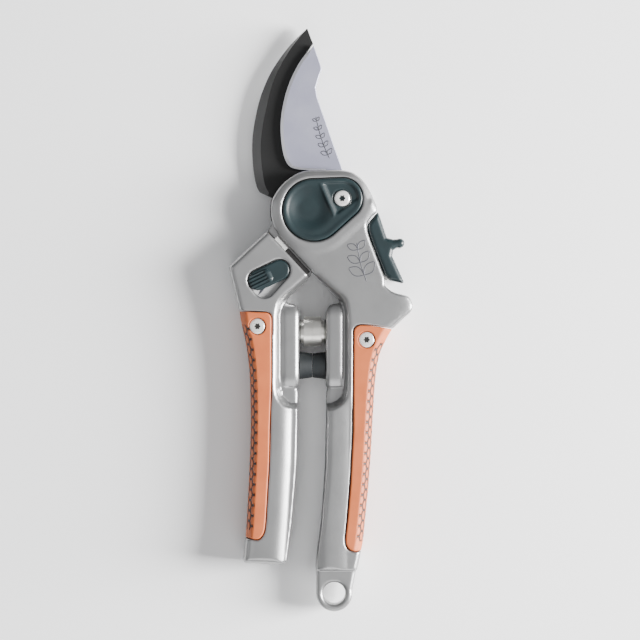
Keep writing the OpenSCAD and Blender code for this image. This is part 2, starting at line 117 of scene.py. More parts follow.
@dataclass(frozen=True)
class Reach:
    """How far the four long pieces run from the pivot."""

    right: float = -float(box_mm("right_handle")[0][1])
    left: float = -float(box_mm("left_handle")[0][1])
    blade: float = float(box_mm("cutting_blade")[1][1])
    hook: float = float(box_mm("counter_blade")[1][1])


Z = Levels()
REACH = Reach()
LOOP_R = 6.95                      # radius of the metal round the hanging hole
HOLE_R = 4.25                      # radius of the hanging hole
LOOP_AT = (7.9, -(REACH.right - LOOP_R))
TAIL_Y = -75.0                     # below the spring pods, where the handles run free
BLADE_ROOT_Y, HOOK_ROOT_Y = 15.0, 4.0
POD_TOP_Y, POD_LOW_Y = -36.0, -67.0
RIGHT_POD_X, LEFT_POD_X = 4.6, -5.4
HEAD_R = 16.3                      # radius of the head's round side
HOOK_R = 16.7                      # radius of the counter-blade's disc
PIVOT_R = 4.0                      # radius of the post
HUB_R = 12.4                       # radius of the left half's ring
SCREW_RIM = 1.2                    # how far below the front face the screws' heads start
CAP_SCREW = (10.9, 4.4)
RIGHT_SCREW = (20.2, -49.4)
LEFT_SCREW = (-21.4, -44.3)
LEVER_AT, LEVER_END, LEVER_LOW = (-13.0, -22.9), (-20.9, -26.7), (-18.8, -29.3)
PLATE_SCREWS = ((8.4, -25.5), (16.0, -26.5), (13.2, -8.6))
BLADE_SCREWS = ((-19.5, -12.5), (-8.2, -25.0))
HOOK_SCREWS = ((10.0, -17.5), (16.4, -15.2))
WINDOW_DEPTH = 3.6                 # depth of the selector's window
STEP_DIR = np.array((-0.736, -0.677))      # from the pivot, square to the left handle's step
STEP_ALONG = np.array((0.677, -0.736))     # along that step
STEP_D = 18.5                      # the step's distance from the pivot
LOCK_DIR, LOCK_OUT = np.array((0.336, -0.942)), np.array((0.942, 0.336))
NOTCH_AT = np.array((21.7, -12.1))         # start of the lock notch's straight edge
GAP_TOP = (0.1, -24.3)             # upper end of the gap between the handles


def right_y(share: float) -> float:
    """y of a point a share of the way from the pods to the hanging hole."""
    return TAIL_Y + share * (LOOP_AT[1] - TAIL_Y)


def left_y(share: float) -> float:
    """y of a point a share of the way from the pods to the left handle's end."""
    return TAIL_Y - share * (REACH.left + TAIL_Y)


def blade_y(share: float) -> float:
    """y of a point a share of the way from the head to the cutting blade's tip."""
    return BLADE_ROOT_Y + share * (REACH.blade - BLADE_ROOT_Y)


def hook_y(share: float) -> float:
    """y of a point a share of the way from the head to the counter-blade's tip."""
    return HOOK_ROOT_Y + share * (REACH.hook - HOOK_ROOT_Y)


# --- Outlines, seen from the front -------------------------------------------------------


def curve(points: Sequence[Point], parts: int = 6) -> list[Point]:
    """Smooth curve through points: a Catmull-Rom cubic on each stretch.

    Args:
        points: the points that the curve passes.
        parts: straight pieces on each stretch.

    Returns:
        The curve's points.
    """
    p = np.array(points, float)
    p = np.vstack((p[:1], p, p[-1:]))
    t = np.linspace(0, 1, parts, endpoint=False)[:, None]
    a, b, c, d = (p[i:len(p) - 3 + i, None] for i in range(4))
    body = (2 * b + (c - a) * t + (2 * a - 5 * b + 4 * c - d) * t ** 2
            + (3 * b - a - 3 * c + d) * t ** 3) / 2
    return [tuple(q) for q in body.reshape(-1, 2)] + [tuple(p[-1])]


def arc(centre: Point, radius: float, start: float, end: float, parts: int = 12) -> list[Point]:
    """Points on a circle's arc between two angles in degrees."""
    angles = np.radians(np.linspace(start, end, parts + 1))
    return [(centre[0] + radius * math.cos(a), centre[1] + radius * math.sin(a)) for a in angles]


NOTCH = curve([(24.4, -0.2), (21, -3.9), (20.2, -6.8), (21.7, -12.1)]) + [(26.9, -25.6)] + curve(
    [(27.1, -28.7), (30, -31.1), (34.9, -32.5)])
HORN = curve([(36.6, -33.2), (37.7, -35.9), (37.3, -38.4), (34.9, -40.8)])
SHOULDER = curve([(10.9, 15.3), (15.4, 14.1), (19.3, 10.7), (21.7, 6.8), (24.7, 0)])
HEAD_LEFT = arc((0, 0), HEAD_R, 222.6, 165, 14) + curve(
    [(-13.8, 7.6), (-10.4, 11.3), (-5, 14.5), (0.3, 15.3)])


def right_sides() -> tuple[list[Point], list[Point]]:
    """Outer side from the horn down, and inner side from the loop up to the pods."""
    outer = curve([
        (30, -45.4), (27.5, -49.9), (25.1, -55.7), (23.7, -64.5), (22.7, -79.1),
        (22.2, right_y(0.19)), (21.2, right_y(0.4)), (20.3, right_y(0.53)),
        (19.1, right_y(0.7)), (18.4, right_y(0.757)), (16.3, right_y(0.9))])
    inner = curve([
        (0.8, right_y(0.88)), (1.3, right_y(0.77)), (2.8, right_y(0.6)), (4.2, right_y(0.328)),
        (4.6, right_y(0.12)), (4.8, TAIL_Y)])
    pod = [(4.8, -69.5), (5.4, -68), (RIGHT_POD_X, POD_LOW_Y), (RIGHT_POD_X, -38.6),
           (6.4, POD_TOP_Y), (9.9, -35.4), (9.3, -33.5)]
    return outer, inner + pod


def cheek_outline() -> list[Point]:
    """Front cheek of the head, as if the lock's notch were filled."""
    low = tuple(HEAD_R * STEP_DIR)
    return [GAP_TOP, low] + HEAD_LEFT + SHOULDER + [(35.6, -31)] + HORN + [
        (27, -44), (14, -36), (9.3, -33.5)]


def core_outline() -> list[Point]:
    """Full-thickness part of the right handle, as if the lock's notch were filled."""
    outer, inner = right_sides()
    hub_side = [(0.4, -24.8), (3.2, -19), (5.6, -12.6)] + arc((0, 0), HUB_R + 1, -60, -14, 8)
    return hub_side + [(16.5, 0.3), (22.6, 3.6), (24.7, 0), (35.6, -31)] + HORN + outer + inner


def notch_outline() -> list[Point]:
    """Room that the lock slides in, run out past the head's edge."""
    return NOTCH + [(36.6, -32.9), (46, -32), (46, 0.6), (24.2, 0.6)]


def hull_outline(*circles: tuple[Point, float], parts: int = 90) -> list[Point]:
    """Outline round several circles: in each direction, the furthest point of any of them."""
    angle = np.linspace(0, 2 * math.pi, parts, endpoint=False)
    way = np.stack([np.cos(angle), np.sin(angle)], axis=1)
    centre = np.array([c for c, _ in circles], float)
    radius = np.array([r for _, r in circles], float)
    best = (way @ centre.T + radius).argmax(1)
    return [tuple(p) for p in centre[best] + radius[best][:, None] * way]


def cap_outline() -> list[Point]:
    """The pivot cap: a large circle on the pivot and a small one round its screw."""
    return hull_outline(((0, 0), 11.8), (CAP_SCREW, 7.8), parts=120)


def left_body_outline() -> list[Point]:
    """The left handle, run on past the step that cuts it off beside the head."""
    outer = [(-13.8, -4.1), (-31.2, -20.3), (-32.3, -21.5), (-32.1, -23.3)] + curve([
        (-28.3, -38.4), (-27.6, -43.1), (-25.9, -50.9), (-24.7, -59.6), (-24.2, -69.3),
        (-24.1, left_y(0.15)), (-24.8, left_y(0.48)), (-26, left_y(0.82)),
        (-26.9, left_y(0.97))])
    end = [(-26.3, left_y(0.99)), (-12.3, left_y(1)), (-10.1, left_y(0.98))]
    inner = curve([(-8.2, left_y(0.73)), (-6.5, left_y(0.39)), (-6.1, left_y(0.15)),
                   (-6, TAIL_Y)])
    pod = [(-5.8, -69.5), (-6.2, -68), (LEFT_POD_X, POD_LOW_Y), (LEFT_POD_X, -38.6),
           (-7, POD_TOP_Y), (-9.9, -35.4), (-10.1, -33.9), (3, -21.4)]
    return outer + end + inner + pod


def neck_outline() -> list[Point]:
    """Neck between the left handle's ring and its body."""
    return [(-11.4, -2), (-15.9, -4), (-16.4, -5.6), (-18.2, -8.4), (-19, -16), (-5, -27),
            (-1.2, -25.4), (-0.7, -23.9), (1.4, -18.6), (4.2, -11.4), (0, 0)]


def tang_outline() -> list[Point]:
    """Foot of the cutting blade, in the left handle."""
    return [(-11, -2), (-16.4, -5.6), (-18.4, -9.4), (-23, -13.6), (-21.2, -18.6), (-12, -27.6),
            (-5.6, -28.4), (-1.8, -25), (-0.6, -23.6), (1.4, -18.6), (4, -11), (0, 0)]


def hook_tail_outline() -> list[Point]:
    """Foot of the counter-blade, in the right handle."""
    return [(-4, -13.7), (8, -20.5), (12, -21.2), (19.6, -18), (21.2, -13.6), (18.4, -7),
            (13, 6), (0, 0)]


def right_grip_outline() -> list[Point]:
    """The right grip's panel, run out past the handle's outer side."""
    return curve([
        (18.6, right_y(0.766)), (15.8, right_y(0.77)), (13.6, right_y(0.759)),
        (12.4, right_y(0.732)), (12.2, right_y(0.7))]) + [
        (13, right_y(0.6)), (14.2, right_y(0.4)), (15.2, right_y(0.12)), (15.3, -50)
    ] + arc((17.9, -46.5), 2.6, 180, 90, 8) + [
        (21.7, -44), (29.8, -45.4), (34, -45.8), (34, right_y(0.75))]


def left_grip_outline() -> list[Point]:
    """The left grip's panel, run out past the handle's outer side."""
    return [(-34, -38.4), (-19.1, -39)] + arc((-18.6, -41.6), 2.6, 80, 0, 8) + [
        (-16, -64.5), (-16.7, left_y(0.15)), (-16.9, left_y(0.35))] + curve([
        (-17.9, left_y(0.63)), (-18.3, left_y(0.73)), (-19, left_y(0.797)),
        (-21.2, left_y(0.836)), (-25.2, left_y(0.827))]) + [(-34, left_y(0.81))]


def slider_outline() -> list[Point]:
    """The lock's thumb slider with its round knob."""
    return [(24.7, -0.9)] + curve([(24.4, -0.9), (21.5, -4.2), (20.6, -6.9), (22.1, -12.1)]) + [
        (27, -24.7), (29, -26.7), (34.2, -27.9), (34.4, -27.2), (30, -17.5), (30.4, -15.2)
    ] + arc((32.9, -12.6), 1.8, -115, 115, 16) + [(30.4, -11.2), (28, -10.6)]


def back_outline() -> list[Point]:
    """The plate behind the head."""
    return [(1.3, -23.7), tuple(HEAD_R * STEP_DIR)] + HEAD_LEFT + SHOULDER + [
        (19.2, -3), (18.6, -8), (22.5, -19), (23.5, -27), (19, -31), (9, -30.5)]


# --- Solids from signed distances ------------------------------------------------------------


@dataclass(frozen=True)
class Grid:
    """Even sample points in a box, in mm.

    A casting's blends and fillets have no single pair of parameters, so its surface is the
    zero level of a distance field sampled here.
    """

    low: Place
    high: Place
    step: float

    def axis(self, index: int) -> Array:
        """Sample places along one axis."""
        count = int(math.ceil((self.high[index] - self.low[index]) / self.step)) + 1
        return self.low[index] + self.step * np.arange(count)

    @property
    def x(self) -> Array:
        """x, shaped to spread over the grid."""
        return self.axis(0)[:, None, None]

    @property
    def y(self) -> Array:
        """y, shaped to spread over the grid."""
        return self.axis(1)[None, :, None]

    @property
    def z(self) -> Array:
        """z, shaped to spread over the grid."""
        return self.axis(2)[None, None, :]

    def outline(self, points: Sequence[Point]) -> Array:
        """Signed distance to a closed outline, negative inside, on the grid's x and y.

        The distance is the least over the sides, each measured to the nearest point of the
        side; the sign comes from how many sides a ray towards +x crosses.

        Args:
            points: the outline's corners in order.

        Returns:
            An array of shape (x, y, 1).
        """
        px, py = (a.ravel() for a in np.meshgrid(self.axis(0), self.axis(1), indexing="ij"))
        a = np.array(points, float)
        b = np.roll(a, -1, axis=0)
        best = np.full(px.size, np.inf)
        odd = np.zeros(px.size, bool)
        for part in np.array_split(np.arange(len(a)), max(1, len(a) // 24)):
            start, side = a[part], b[part] - a[part]
            dx = px[:, None] - start[None, :, 0]
            dy = py[:, None] - start[None, :, 1]
            length = np.maximum((side ** 2).sum(1), 1e-12)
            t = np.clip((dx * side[:, 0] + dy * side[:, 1]) / length, 0, 1)
            gap = np.hypot(dx - t * side[:, 0], dy - t * side[:, 1])
            best = np.minimum(best, gap.min(1))
            low = start[None, :, 1] > py[:, None]
            high = b[part][None, :, 1] > py[:, None]
            rise = np.where(np.abs(side[:, 1]) < 1e-12, 1e-12, side[:, 1])
            cross = start[None, :, 0] + side[:, 0] * dy / rise
            odd ^= (((low != high) & (px[:, None] < cross)).sum(1) % 2).astype(bool)
        signed = np.where(odd, -best, best)
        return signed.reshape(len(self.axis(0)), len(self.axis(1)), 1)

    def round_hole(self, centre: Point, radius: float) -> Array:
        """Signed distance to a circle on the grid's x and y."""
        return np.hypot(self.x - centre[0], self.y - centre[1]) - radius

    def slab(self, flat: Array, z0: float, z1: float, fillet: float) -> Array:
        """Rounded plate: an outline's distance carried from z0 to z1.

        With a = outline distance + fillet and b = distance past the plate's half thickness
        + fillet, the value is min(max(a, b), 0) + |max((a, b), 0)| - fillet.
        """
        a = flat + fillet
        b = np.abs(self.z - (z0 + z1) / 2) - (z1 - z0) / 2 + fillet
        return np.minimum(np.maximum(a, b), 0) + np.hypot(np.maximum(a, 0),
                                                         np.maximum(b, 0)) - fillet


def join(a: Array, b: Array, blend: float) -> Array:
    """Union of two fields, with a fillet of about the blend where they meet."""
    h = np.clip(0.5 + 0.5 * (b - a) / blend, 0, 1)
    return b * (1 - h) + a * h - blend * h * (1 - h)


def cut(a: Array, b: Array, blend: float) -> Array:
    """The first field less the second, with the new edge rounded by about the blend."""
    return -join(-a, b, blend)


def meet(a: Array, b: Array, blend: float) -> Array:
    """Where both fields are solid, with the new edge rounded by about the blend."""
    return -join(-a, -b, blend)


def overlap(*fields: Array) -> Array:
    """Where every field is solid, with sharp edges."""
    result = fields[0]
    for other in fields[1:]:
        result = np.maximum(result, other)
    return result


def ease(value: Array, start: float, end: float) -> Array:
    """0 before start, 1 after end, and 3t^2 - 2t^3 between."""
    t = np.clip((value - start) / (end - start), 0, 1)
    return t * t * (3 - 2 * t)


SETTLES = 2                        # times that a vertex is moved onto the surface
LEAST_SLOPE = 0.05                 # least squared slope that a move is divided by
CORNERS = np.array([(i, j, k) for i in (0, 1) for j in (0, 1) for k in (0, 1)])
EDGES = [(a, b) for a in range(8) for b in range(a + 1, 8)
         if np.abs(CORNERS[a] - CORNERS[b]).sum() == 1]


def sample(values: Array, grid: Grid, points: Array) -> Array:
    """Values between the samples, weighted over the eight corners round each point."""
    place = (points - np.array(grid.low)) / grid.step
    cell = np.clip(np.floor(place).astype(int), 0, np.array(values.shape) - 2)
    part = np.clip(place - cell, 0, 1)
    total = np.zeros(len(points))
    for corner in CORNERS:
        weight = np.prod(np.where(corner, part, 1 - part), axis=1)
        total += weight * values[tuple((cell + corner).T)]
    return total


def net_surface(values: Array, grid: Grid) -> Mesh:
    """Closed mesh of a field's zero level, by surface nets.

    Each cell that the level crosses holds one vertex, at the mean of its edges' crossings;
    each grid edge with a sign change gives one quad of the four cells round it. Then every
    vertex moves along the field's slope until the value there is zero.

    Args:
        values: the field, negative inside.
        grid: the grid that it is sampled on.

    Returns:
        Vertices in mm and quads.
    """
    inside = values < 0
    n = np.array(values.shape) - 1
    count = sum(inside[i:n[0] + i, j:n[1] + j, k:n[2] + k].astype(np.int8)
                for i, j, k in CORNERS)
    cells = np.argwhere((count > 0) & (count < 8))
    index = np.full(count.shape, -1, np.int64)
    index[tuple(cells.T)] = np.arange(len(cells))
    corner = np.stack([values[tuple((cells + c).T)] for c in CORNERS], axis=1)
    total, hits = np.zeros((len(cells), 3)), np.zeros(len(cells))
    for a, b in EDGES:
        va, vb = corner[:, a], corner[:, b]
        crossed = (va < 0) != (vb < 0)
        t = np.where(crossed, va / np.where(crossed, va - vb, 1), 0)[:, None]
        total += np.where(crossed[:, None], CORNERS[a] + t * (CORNERS[b] - CORNERS[a]), 0)
        hits += crossed
    verts = np.array(grid.low) + grid.step * (cells + total / hits[:, None])
    quads = []
    for axis in range(3):
        u, v = np.eye(3, dtype=int)[[(axis + 1) % 3, (axis + 2) % 3]]
        first = np.moveaxis(inside, axis, 0)
        change = np.moveaxis(first[:-1] != first[1:], 0, axis)
        edges = np.argwhere(change)
        inner = ((edges >= u + v) & (edges <= n - 1)).all(1)
        edges = edges[inner]
        ring = np.stack([index[tuple((edges - c).T)] for c in (u + v, v, 0 * u, u)], axis=1)
        outward = inside[tuple(edges.T)][:, None]
        quads.append(np.where(outward, ring, ring[:, ::-1]))
    half = grid.step / 2
    for _ in range(SETTLES):
        slope = np.stack([
            (sample(values, grid, verts + half * axis) - sample(values, grid, verts - half * axis))
            for axis in np.eye(3)], axis=1) / grid.step
        size = np.maximum((slope ** 2).sum(1), LEAST_SLOPE)
        move = -sample(values, grid, verts)[:, None] * slope / size[:, None]
        verts += np.clip(move, -half, half)
    return verts, np.vstack(quads)


# --- Meshes --------------------------------------------------------------------------------


def build(name: str, verts: Array, faces: Array, material: Material, body: Body | None,
          *nodes: str, sharp: float | None = None) -> Object:
    """Makes a piece, rides it on its body and lets it stand for its CAD nodes.

    Args:
        name: the piece's name.
        verts: vertices in mm.
        faces: triangles or quads.
        material: its finish.
        body: the body that it moves with.
        *nodes: the CAD nodes that it stands for.
        sharp: angle in degrees above which an edge is shaded sharp; none if not given.

    Returns:
        The new object.
    """
    mesh = bpy.data.meshes.new(name)
    faces = np.asarray(faces)
    mesh.vertices.add(len(verts))
    mesh.vertices.foreach_set("co", (np.asarray(verts) * MM).astype(np.float32).ravel())
    mesh.loops.add(faces.size)
    mesh.loops.foreach_set("vertex_index", faces.astype(np.int32).ravel())
    mesh.polygons.add(len(faces))
    mesh.polygons.foreach_set("loop_start", np.arange(0, faces.size, faces.shape[1],
                                                      dtype=np.int32))
    mesh.polygons.foreach_set("use_smooth", np.ones(len(faces), bool))
    mesh.update(calc_edges=True)
    mesh.validate()
    if sharp is not None:
        mesh.set_sharp_from_angle(angle=math.radians(sharp))
    mesh.materials.append(material)
    obj = bpy.data.objects.new(name, mesh)
    bpy.context.scene.collection.objects.link(obj)
    if body is not None:
        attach(obj, body.value)
    if nodes:
        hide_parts(*nodes)
    LOG.info("%s: %d faces on %s", name, len(faces), body.value if body else "two bodies")
    return obj


def build_field(name: str, values: Array, grid: Grid, material: Material,
                body: Body, node: str) -> Object:
    """Makes a piece of a distance field's zero level."""
    return build(name, *net_surface(values, grid), material, body, node)


def grid_faces(rows: int, columns: int, closed_rows: bool = False,
               closed_columns: bool = False) -> Array:
    """Quads of a grid of rows by columns, which may close on itself either way.

    With rows running along i and columns along j, the faces look along
    (step in i) x (step in j).
    """
    i = np.arange(rows if closed_rows else rows - 1)[:, None]
    j = np.arange(columns if closed_columns else columns - 1)[None, :]
    i2, j2 = (i + 1) % rows, (j + 1) % columns
    ring = (i * columns + j, i2 * columns + j, i2 * columns + j2, i * columns + j2)
    return np.stack([r.ravel() for r in np.broadcast_arrays(*ring)], axis=1)


def gather(parts: Sequence[Mesh]) -> Mesh:
    """Several meshes of quads as one."""
    verts, faces, start = [], [], 0
    for v, f in parts:
        verts.append(v)
        faces.append(np.asarray(f) + start)
        start += len(v)
    return np.vstack(verts), np.vstack(faces)


def turned(profile: Array, sides: int = 48) -> Mesh:
    """Surface of a profile (radius, height) turned round z.

    A profile that starts and ends on the axis gives a closed skin. It runs from the bottom,
    out and up to the top, so that the faces look outwards.
    """
    angle = np.linspace(0, 2 * math.pi, sides, endpoint=False)
    radius = np.maximum(profile[:, 0], POINT_R)
    verts = np.stack([
        radius[None] * np.cos(angle)[:, None], radius[None] * np.sin(angle)[:, None],
        np.broadcast_to(profile[:, 1], (sides, len(profile)))], axis=-1).reshape(-1, 3)
    return verts, grid_faces(sides, len(profile), closed_rows=True)


def rounded_profile(radius: float, z0: float, z1: float, low: float, high: float) -> Array:
    """Half section of a disc, with its lower and upper rims rounded by the two radii."""
    quarter = np.radians(np.linspace(0, 90, 6))
    lower = np.stack([radius - low + low * np.sin(quarter), z0 + low - low * np.cos(quarter)], 1)
    upper = np.stack([radius - high + high * np.cos(quarter),
                      z1 - high + high * np.sin(quarter)], 1)
    return np.vstack(([[0, z0]], lower, upper, [[0, z1]]))


def screw_head(radius: float, height: float, dome: float) -> Mesh:
    """Domed screw head with a six-lobed recess, its rim at z = 0.

    Along the radius the rings run from the underside, round the rim, in over the dome and
    down the recess; round the axis the recess has r = r0 (1 + 0.16 cos 6a).
    """
    angle = np.linspace(0, 2 * math.pi, 72, endpoint=False)[:, None]
    lobe = 0.36 * radius * (1 + 0.16 * np.cos(6 * angle))
    full = np.ones_like(angle)

    def top(r: Array) -> Array:
        """Height of the dome at a radius."""
        return height + dome * (1 - (r / radius) ** 2)

    rings = [(POINT_R * full, -0.6 * full), (radius * full, -0.6 * full),
             (radius * full, (height - 0.35) * full)]
    for share in (0.985, 0.955, 0.9, 0.75, 0.6):
        drop = 0.35 * max(0.0, (share - 0.9) / 0.1) ** 2
        rings.append((share * radius * full, top(share * radius * full) - drop))
    rings += [(lobe + 0.12, top(lobe)), (lobe, top(lobe) - 0.15), (lobe * 0.96, full * -0.3),
              (lobe * 0.3, full * -0.45), (POINT_R * full, full * -0.5)]
    r = np.hstack([ring[0] for ring in rings])
    z = np.hstack([ring[1] for ring in rings])
    verts = np.stack([r * np.cos(angle), r * np.sin(angle), z], axis=-1).reshape(-1, 3)
    return verts, grid_faces(72, len(rings), closed_rows=True)


def tube(path: Array, radius: float, sides: int = 6) -> Mesh:
    """Round tube along a path in 3-D, with closed ends drawn to a point."""
    along = np.gradient(path, axis=0)
    along /= np.linalg.norm(along, axis=1)[:, None]
    side = np.cross(along, (0.0, 0.0, 1.0))
    side /= np.maximum(np.linalg.norm(side, axis=1), 1e-9)[:, None]
    up = np.cross(side, along)
    angle = np.linspace(0, 2 * math.pi, sides, endpoint=False)
    ring = (np.cos(angle)[None, :, None] * side[:, None]
            + np.sin(angle)[None, :, None] * up[:, None])
    size = np.full(len(path), radius)
    size[[0, -1]] = POINT_R
    verts = path[:, None] + size[:, None, None] * ring
    return verts.reshape(-1, 3), grid_faces(len(path), sides, closed_columns=True)[:, ::-1]


def attribute(obj: Object, name: str, values: Array) -> None:
    """Stores one number for each vertex, for a material to read."""
    layer = obj.data.attributes.new(name, "FLOAT", "POINT")
    layer.data.foreach_set("value", np.asarray(values, np.float32))


# --- Finishes ------------------------------------------------------------------------------


def linear(code: str) -> tuple[float, float, float, float]:
    """Linear colour of an sRGB hex code such as #A3A3A3."""
    part = [int(code[i:i + 2], 16) / 255 for i in (1, 3, 5)]
    return (*(c / 12.92 if c <= 0.04045 else ((c + 0.055) / 1.055) ** 2.4 for c in part), 1.0)


def add(tree: Tree, kind: str, settings: dict | None = None,
        links: dict | None = None) -> Node:
    """Adds a node.

    Args:
        tree: the node tree.
        kind: the node's type.
        settings: values for its properties, or for its input sockets.
        links: source sockets for its input sockets.

    Returns:
        The node.
    """
    node = tree.nodes.new(kind)
    for key, value in (settings or {}).items():
        if isinstance(key, str) and hasattr(node, key):
            setattr(node, key, value)
        else:
            node.inputs[key].default_value = value
    for key, source in (links or {}).items():
        tree.links.new(source, node.inputs[key])
    return node


# Sockets of a mix node for numbers, vectors and colours: its two inputs and its output
MIX_NUMBER = (2, 3, 0)
MIX_VECTOR = (4, 5, 1)
MIX_COLOUR = (6, 7, 2)


def mix_colours(tree: Tree, amount: Socket,
                under: Socket | str, over: str) -> Socket:
    """Mixes a colour, or a socket that gives one, with a hex colour by an amount from 0 to 1."""
    first, second, out = MIX_COLOUR
    settings, links = {"data_type": "RGBA", second: linear(over)}, {0: amount}
    if isinstance(under, str):
        settings[first] = linear(under)
    else:
        links[first] = under
    return add(tree, "ShaderNodeMix", settings, links).outputs[out]


def per_mm(size: float) -> float:
    """Noise scale, in object metres, for features of a size in mm."""
    return 1 / (size * MM)


@dataclass(frozen=True)
class Finish:
    """A surface: its colours, how it shines, and its fine and broad variation."""

    name: str
    colour: str
    shade: str                # the colour that broad mottling moves towards
    metallic: float
    roughness: float
    grain_mm: float           # size of the fine relief
    relief_mm: float          # height of the fine relief
    mottle_mm: float = 9.0    # size of the broad variation
    spread: float = 0.06      # how far the roughness varies
    stretch: Place = (1.0, 1.0, 1.0)   # packs the grain closer along an axis

    def colour_source(self, tree: Tree,
                      mottle: Socket) -> Socket:
        """The colour over the surface: the two tones, mixed by the broad variation."""
        return mix_colours(tree, mottle, self.colour, self.shade)

    def make(self) -> Material:
        """Builds the material's nodes."""
        material = bpy.data.materials.new(self.name)
        material.use_nodes = True
        tree = material.node_tree
        tree.nodes.clear()
        place = add(tree, "ShaderNodeTexCoord").outputs["Object"]
        drawn = add(tree, "ShaderNodeMapping", {"Scale": self.stretch}, {"Vector": place})
        grain = add(tree, "ShaderNodeTexNoise", {
            "Scale": per_mm(self.grain_mm), "Detail": 3.0, "Roughness": 0.6},
            {"Vector": drawn.outputs[0]})
        broad = add(tree, "ShaderNodeTexNoise", {
            "Scale": per_mm(self.mottle_mm), "Detail": 4.0}, {"Vector": place})
        mottle = add(tree, "ShaderNodeMapRange", {
            "From Min": 0.35, "From Max": 0.65}, {"Value": broad.outputs["Fac"]})
        rough = add(tree, "ShaderNodeMapRange", {
            "From Min": 0.3, "From Max": 0.7, "To Min": self.roughness - self.spread,
            "To Max": self.roughness + self.spread}, {"Value": grain.outputs["Fac"]})
        bump = add(tree, "ShaderNodeBump", {
            "Strength": 1.0, "Distance": self.relief_mm * MM},
            {"Height": grain.outputs["Fac"]})
        shader = add(tree, "ShaderNodeBsdfPrincipled", {"Metallic": self.metallic}, {
            "Base Color": self.colour_source(tree, mottle.outputs[0]),
            "Roughness": self.rough_source(tree, rough.outputs[0]),
            "Normal": bump.outputs[0]})
        add(tree, "ShaderNodeOutputMaterial", None, {"Surface": shader.outputs[0]})
        return material

    def rough_source(self, tree: Tree,
                     rough: Socket) -> Socket:
        """The roughness over the surface."""
        return rough


@dataclass(frozen=True)
class MarkedFinish(Finish):
    """A finish with a second tone where the mesh's own attribute says so."""

    mark: str = "mark"
    mark_colour: str = "#6B6B6B"
    mark_roughness: float = 0.3

    def colour_source(self, tree: Tree,
                      mottle: Socket) -> Socket:
        """The plain colour, giving way to the mark's colour."""
        plain = super().colour_source(tree, mottle)
        amount = add(tree, "ShaderNodeAttribute", {"attribute_name": self.mark}).outputs["Fac"]
        return mix_colours(tree, amount, plain, self.mark_colour)

    def rough_source(self, tree: Tree,
                     rough: Socket) -> Socket:
        """The plain roughness, giving way to the mark's."""
        amount = add(tree, "ShaderNodeAttribute", {"attribute_name": self.mark}).outputs["Fac"]
        first, second, out = MIX_NUMBER
        return add(tree, "ShaderNodeMix", {second: self.mark_roughness},
                   {0: amount, first: rough}).outputs[out]


# Pressure-cast aluminium, vibratory finished: an even satin skin with a fine pebble
CAST = Finish("cast_aluminium", "#A6A6A6", "#9D9D9D", 0.9, 0.36, 0.5, 0.012, 16.0)
# Ground high-carbon steel with a fine grain packed along the blade; its bevel is ground smoother,
# and its lighter colour is a painted highlight
BLADE = MarkedFinish("ground_blade_steel", "#A2A2B2", "#9898AA", 0.5, 0.45, 0.35, 0.008, 12.0,
                     0.08, (1.0, 3.0, 1.0), mark="bevel", mark_colour="#D8D8DE",
                     mark_roughness=0.28)
# Low-friction coating over steel, nearly black; the outer bevel is ground through it
COATED = MarkedFinish("coated_steel", "#121212", "#0F0F0F", 0.1, 0.5, 0.4, 0.006, 10.0, 0.05,
                      mark="bevel", mark_colour="#515151", mark_roughness=0.42)
# Moulded glass-filled nylon, dark teal, lightly textured
TEAL = Finish("moulded_teal_nylon", "#142427", "#101E21", 0.0, 0.36, 0.3, 0.004, 8.0)
# Nitrile rubber buffers, matt slate
BUFFER = Finish("slate_rubber", "#161B1E", "#121719", 0.0, 0.62, 0.4, 0.008, 5.0)
# Black gasket in the thin joints
GASKET = Finish("black_gasket", "#15110F", "#0E0C0B", 0.0, 0.7, 0.3, 0.003, 4.0)
# Nickel-plated screw heads, their recesses painted darker as painted shade
BRIGHT = MarkedFinish("nickel_plate", "#F4F3F0", "#EAE9E6", 0.6, 0.3, 0.5, 0.002, 3.0,
                      mark="recess", mark_colour="#5A5856")
# Zinc-plated steel for what is hidden
ZINC = Finish("zinc_plate", "#B8B8B4", "#ACACA6", 1.0, 0.34, 0.4, 0.004, 3.0)
# Bright rolled spring strip, with a fine grain packed across it
SPRING = Finish("rolled_spring_strip", "#E2E0DA", "#D6D4CE", 0.9, 0.32, 0.3, 0.004, 3.0, 0.05,
                (3.0, 1.0, 1.0))
# Sintered bronze
BRONZE = Finish("sintered_bronze", "#B08D57", "#A07F4C", 0.9, 0.45, 0.3, 0.006, 3.0)
# Moulded acetal, pale grey
PALE = Finish("pale_acetal", "#B9B9B9", "#B0B0B0", 0.0, 0.4, 0.4, 0.003, 4.0)
# Dark grey printed marks
MARK = Finish("dark_marking", "#4A4A50", "#424248", 0.2, 0.5, 0.3, 0.002, 3.0)


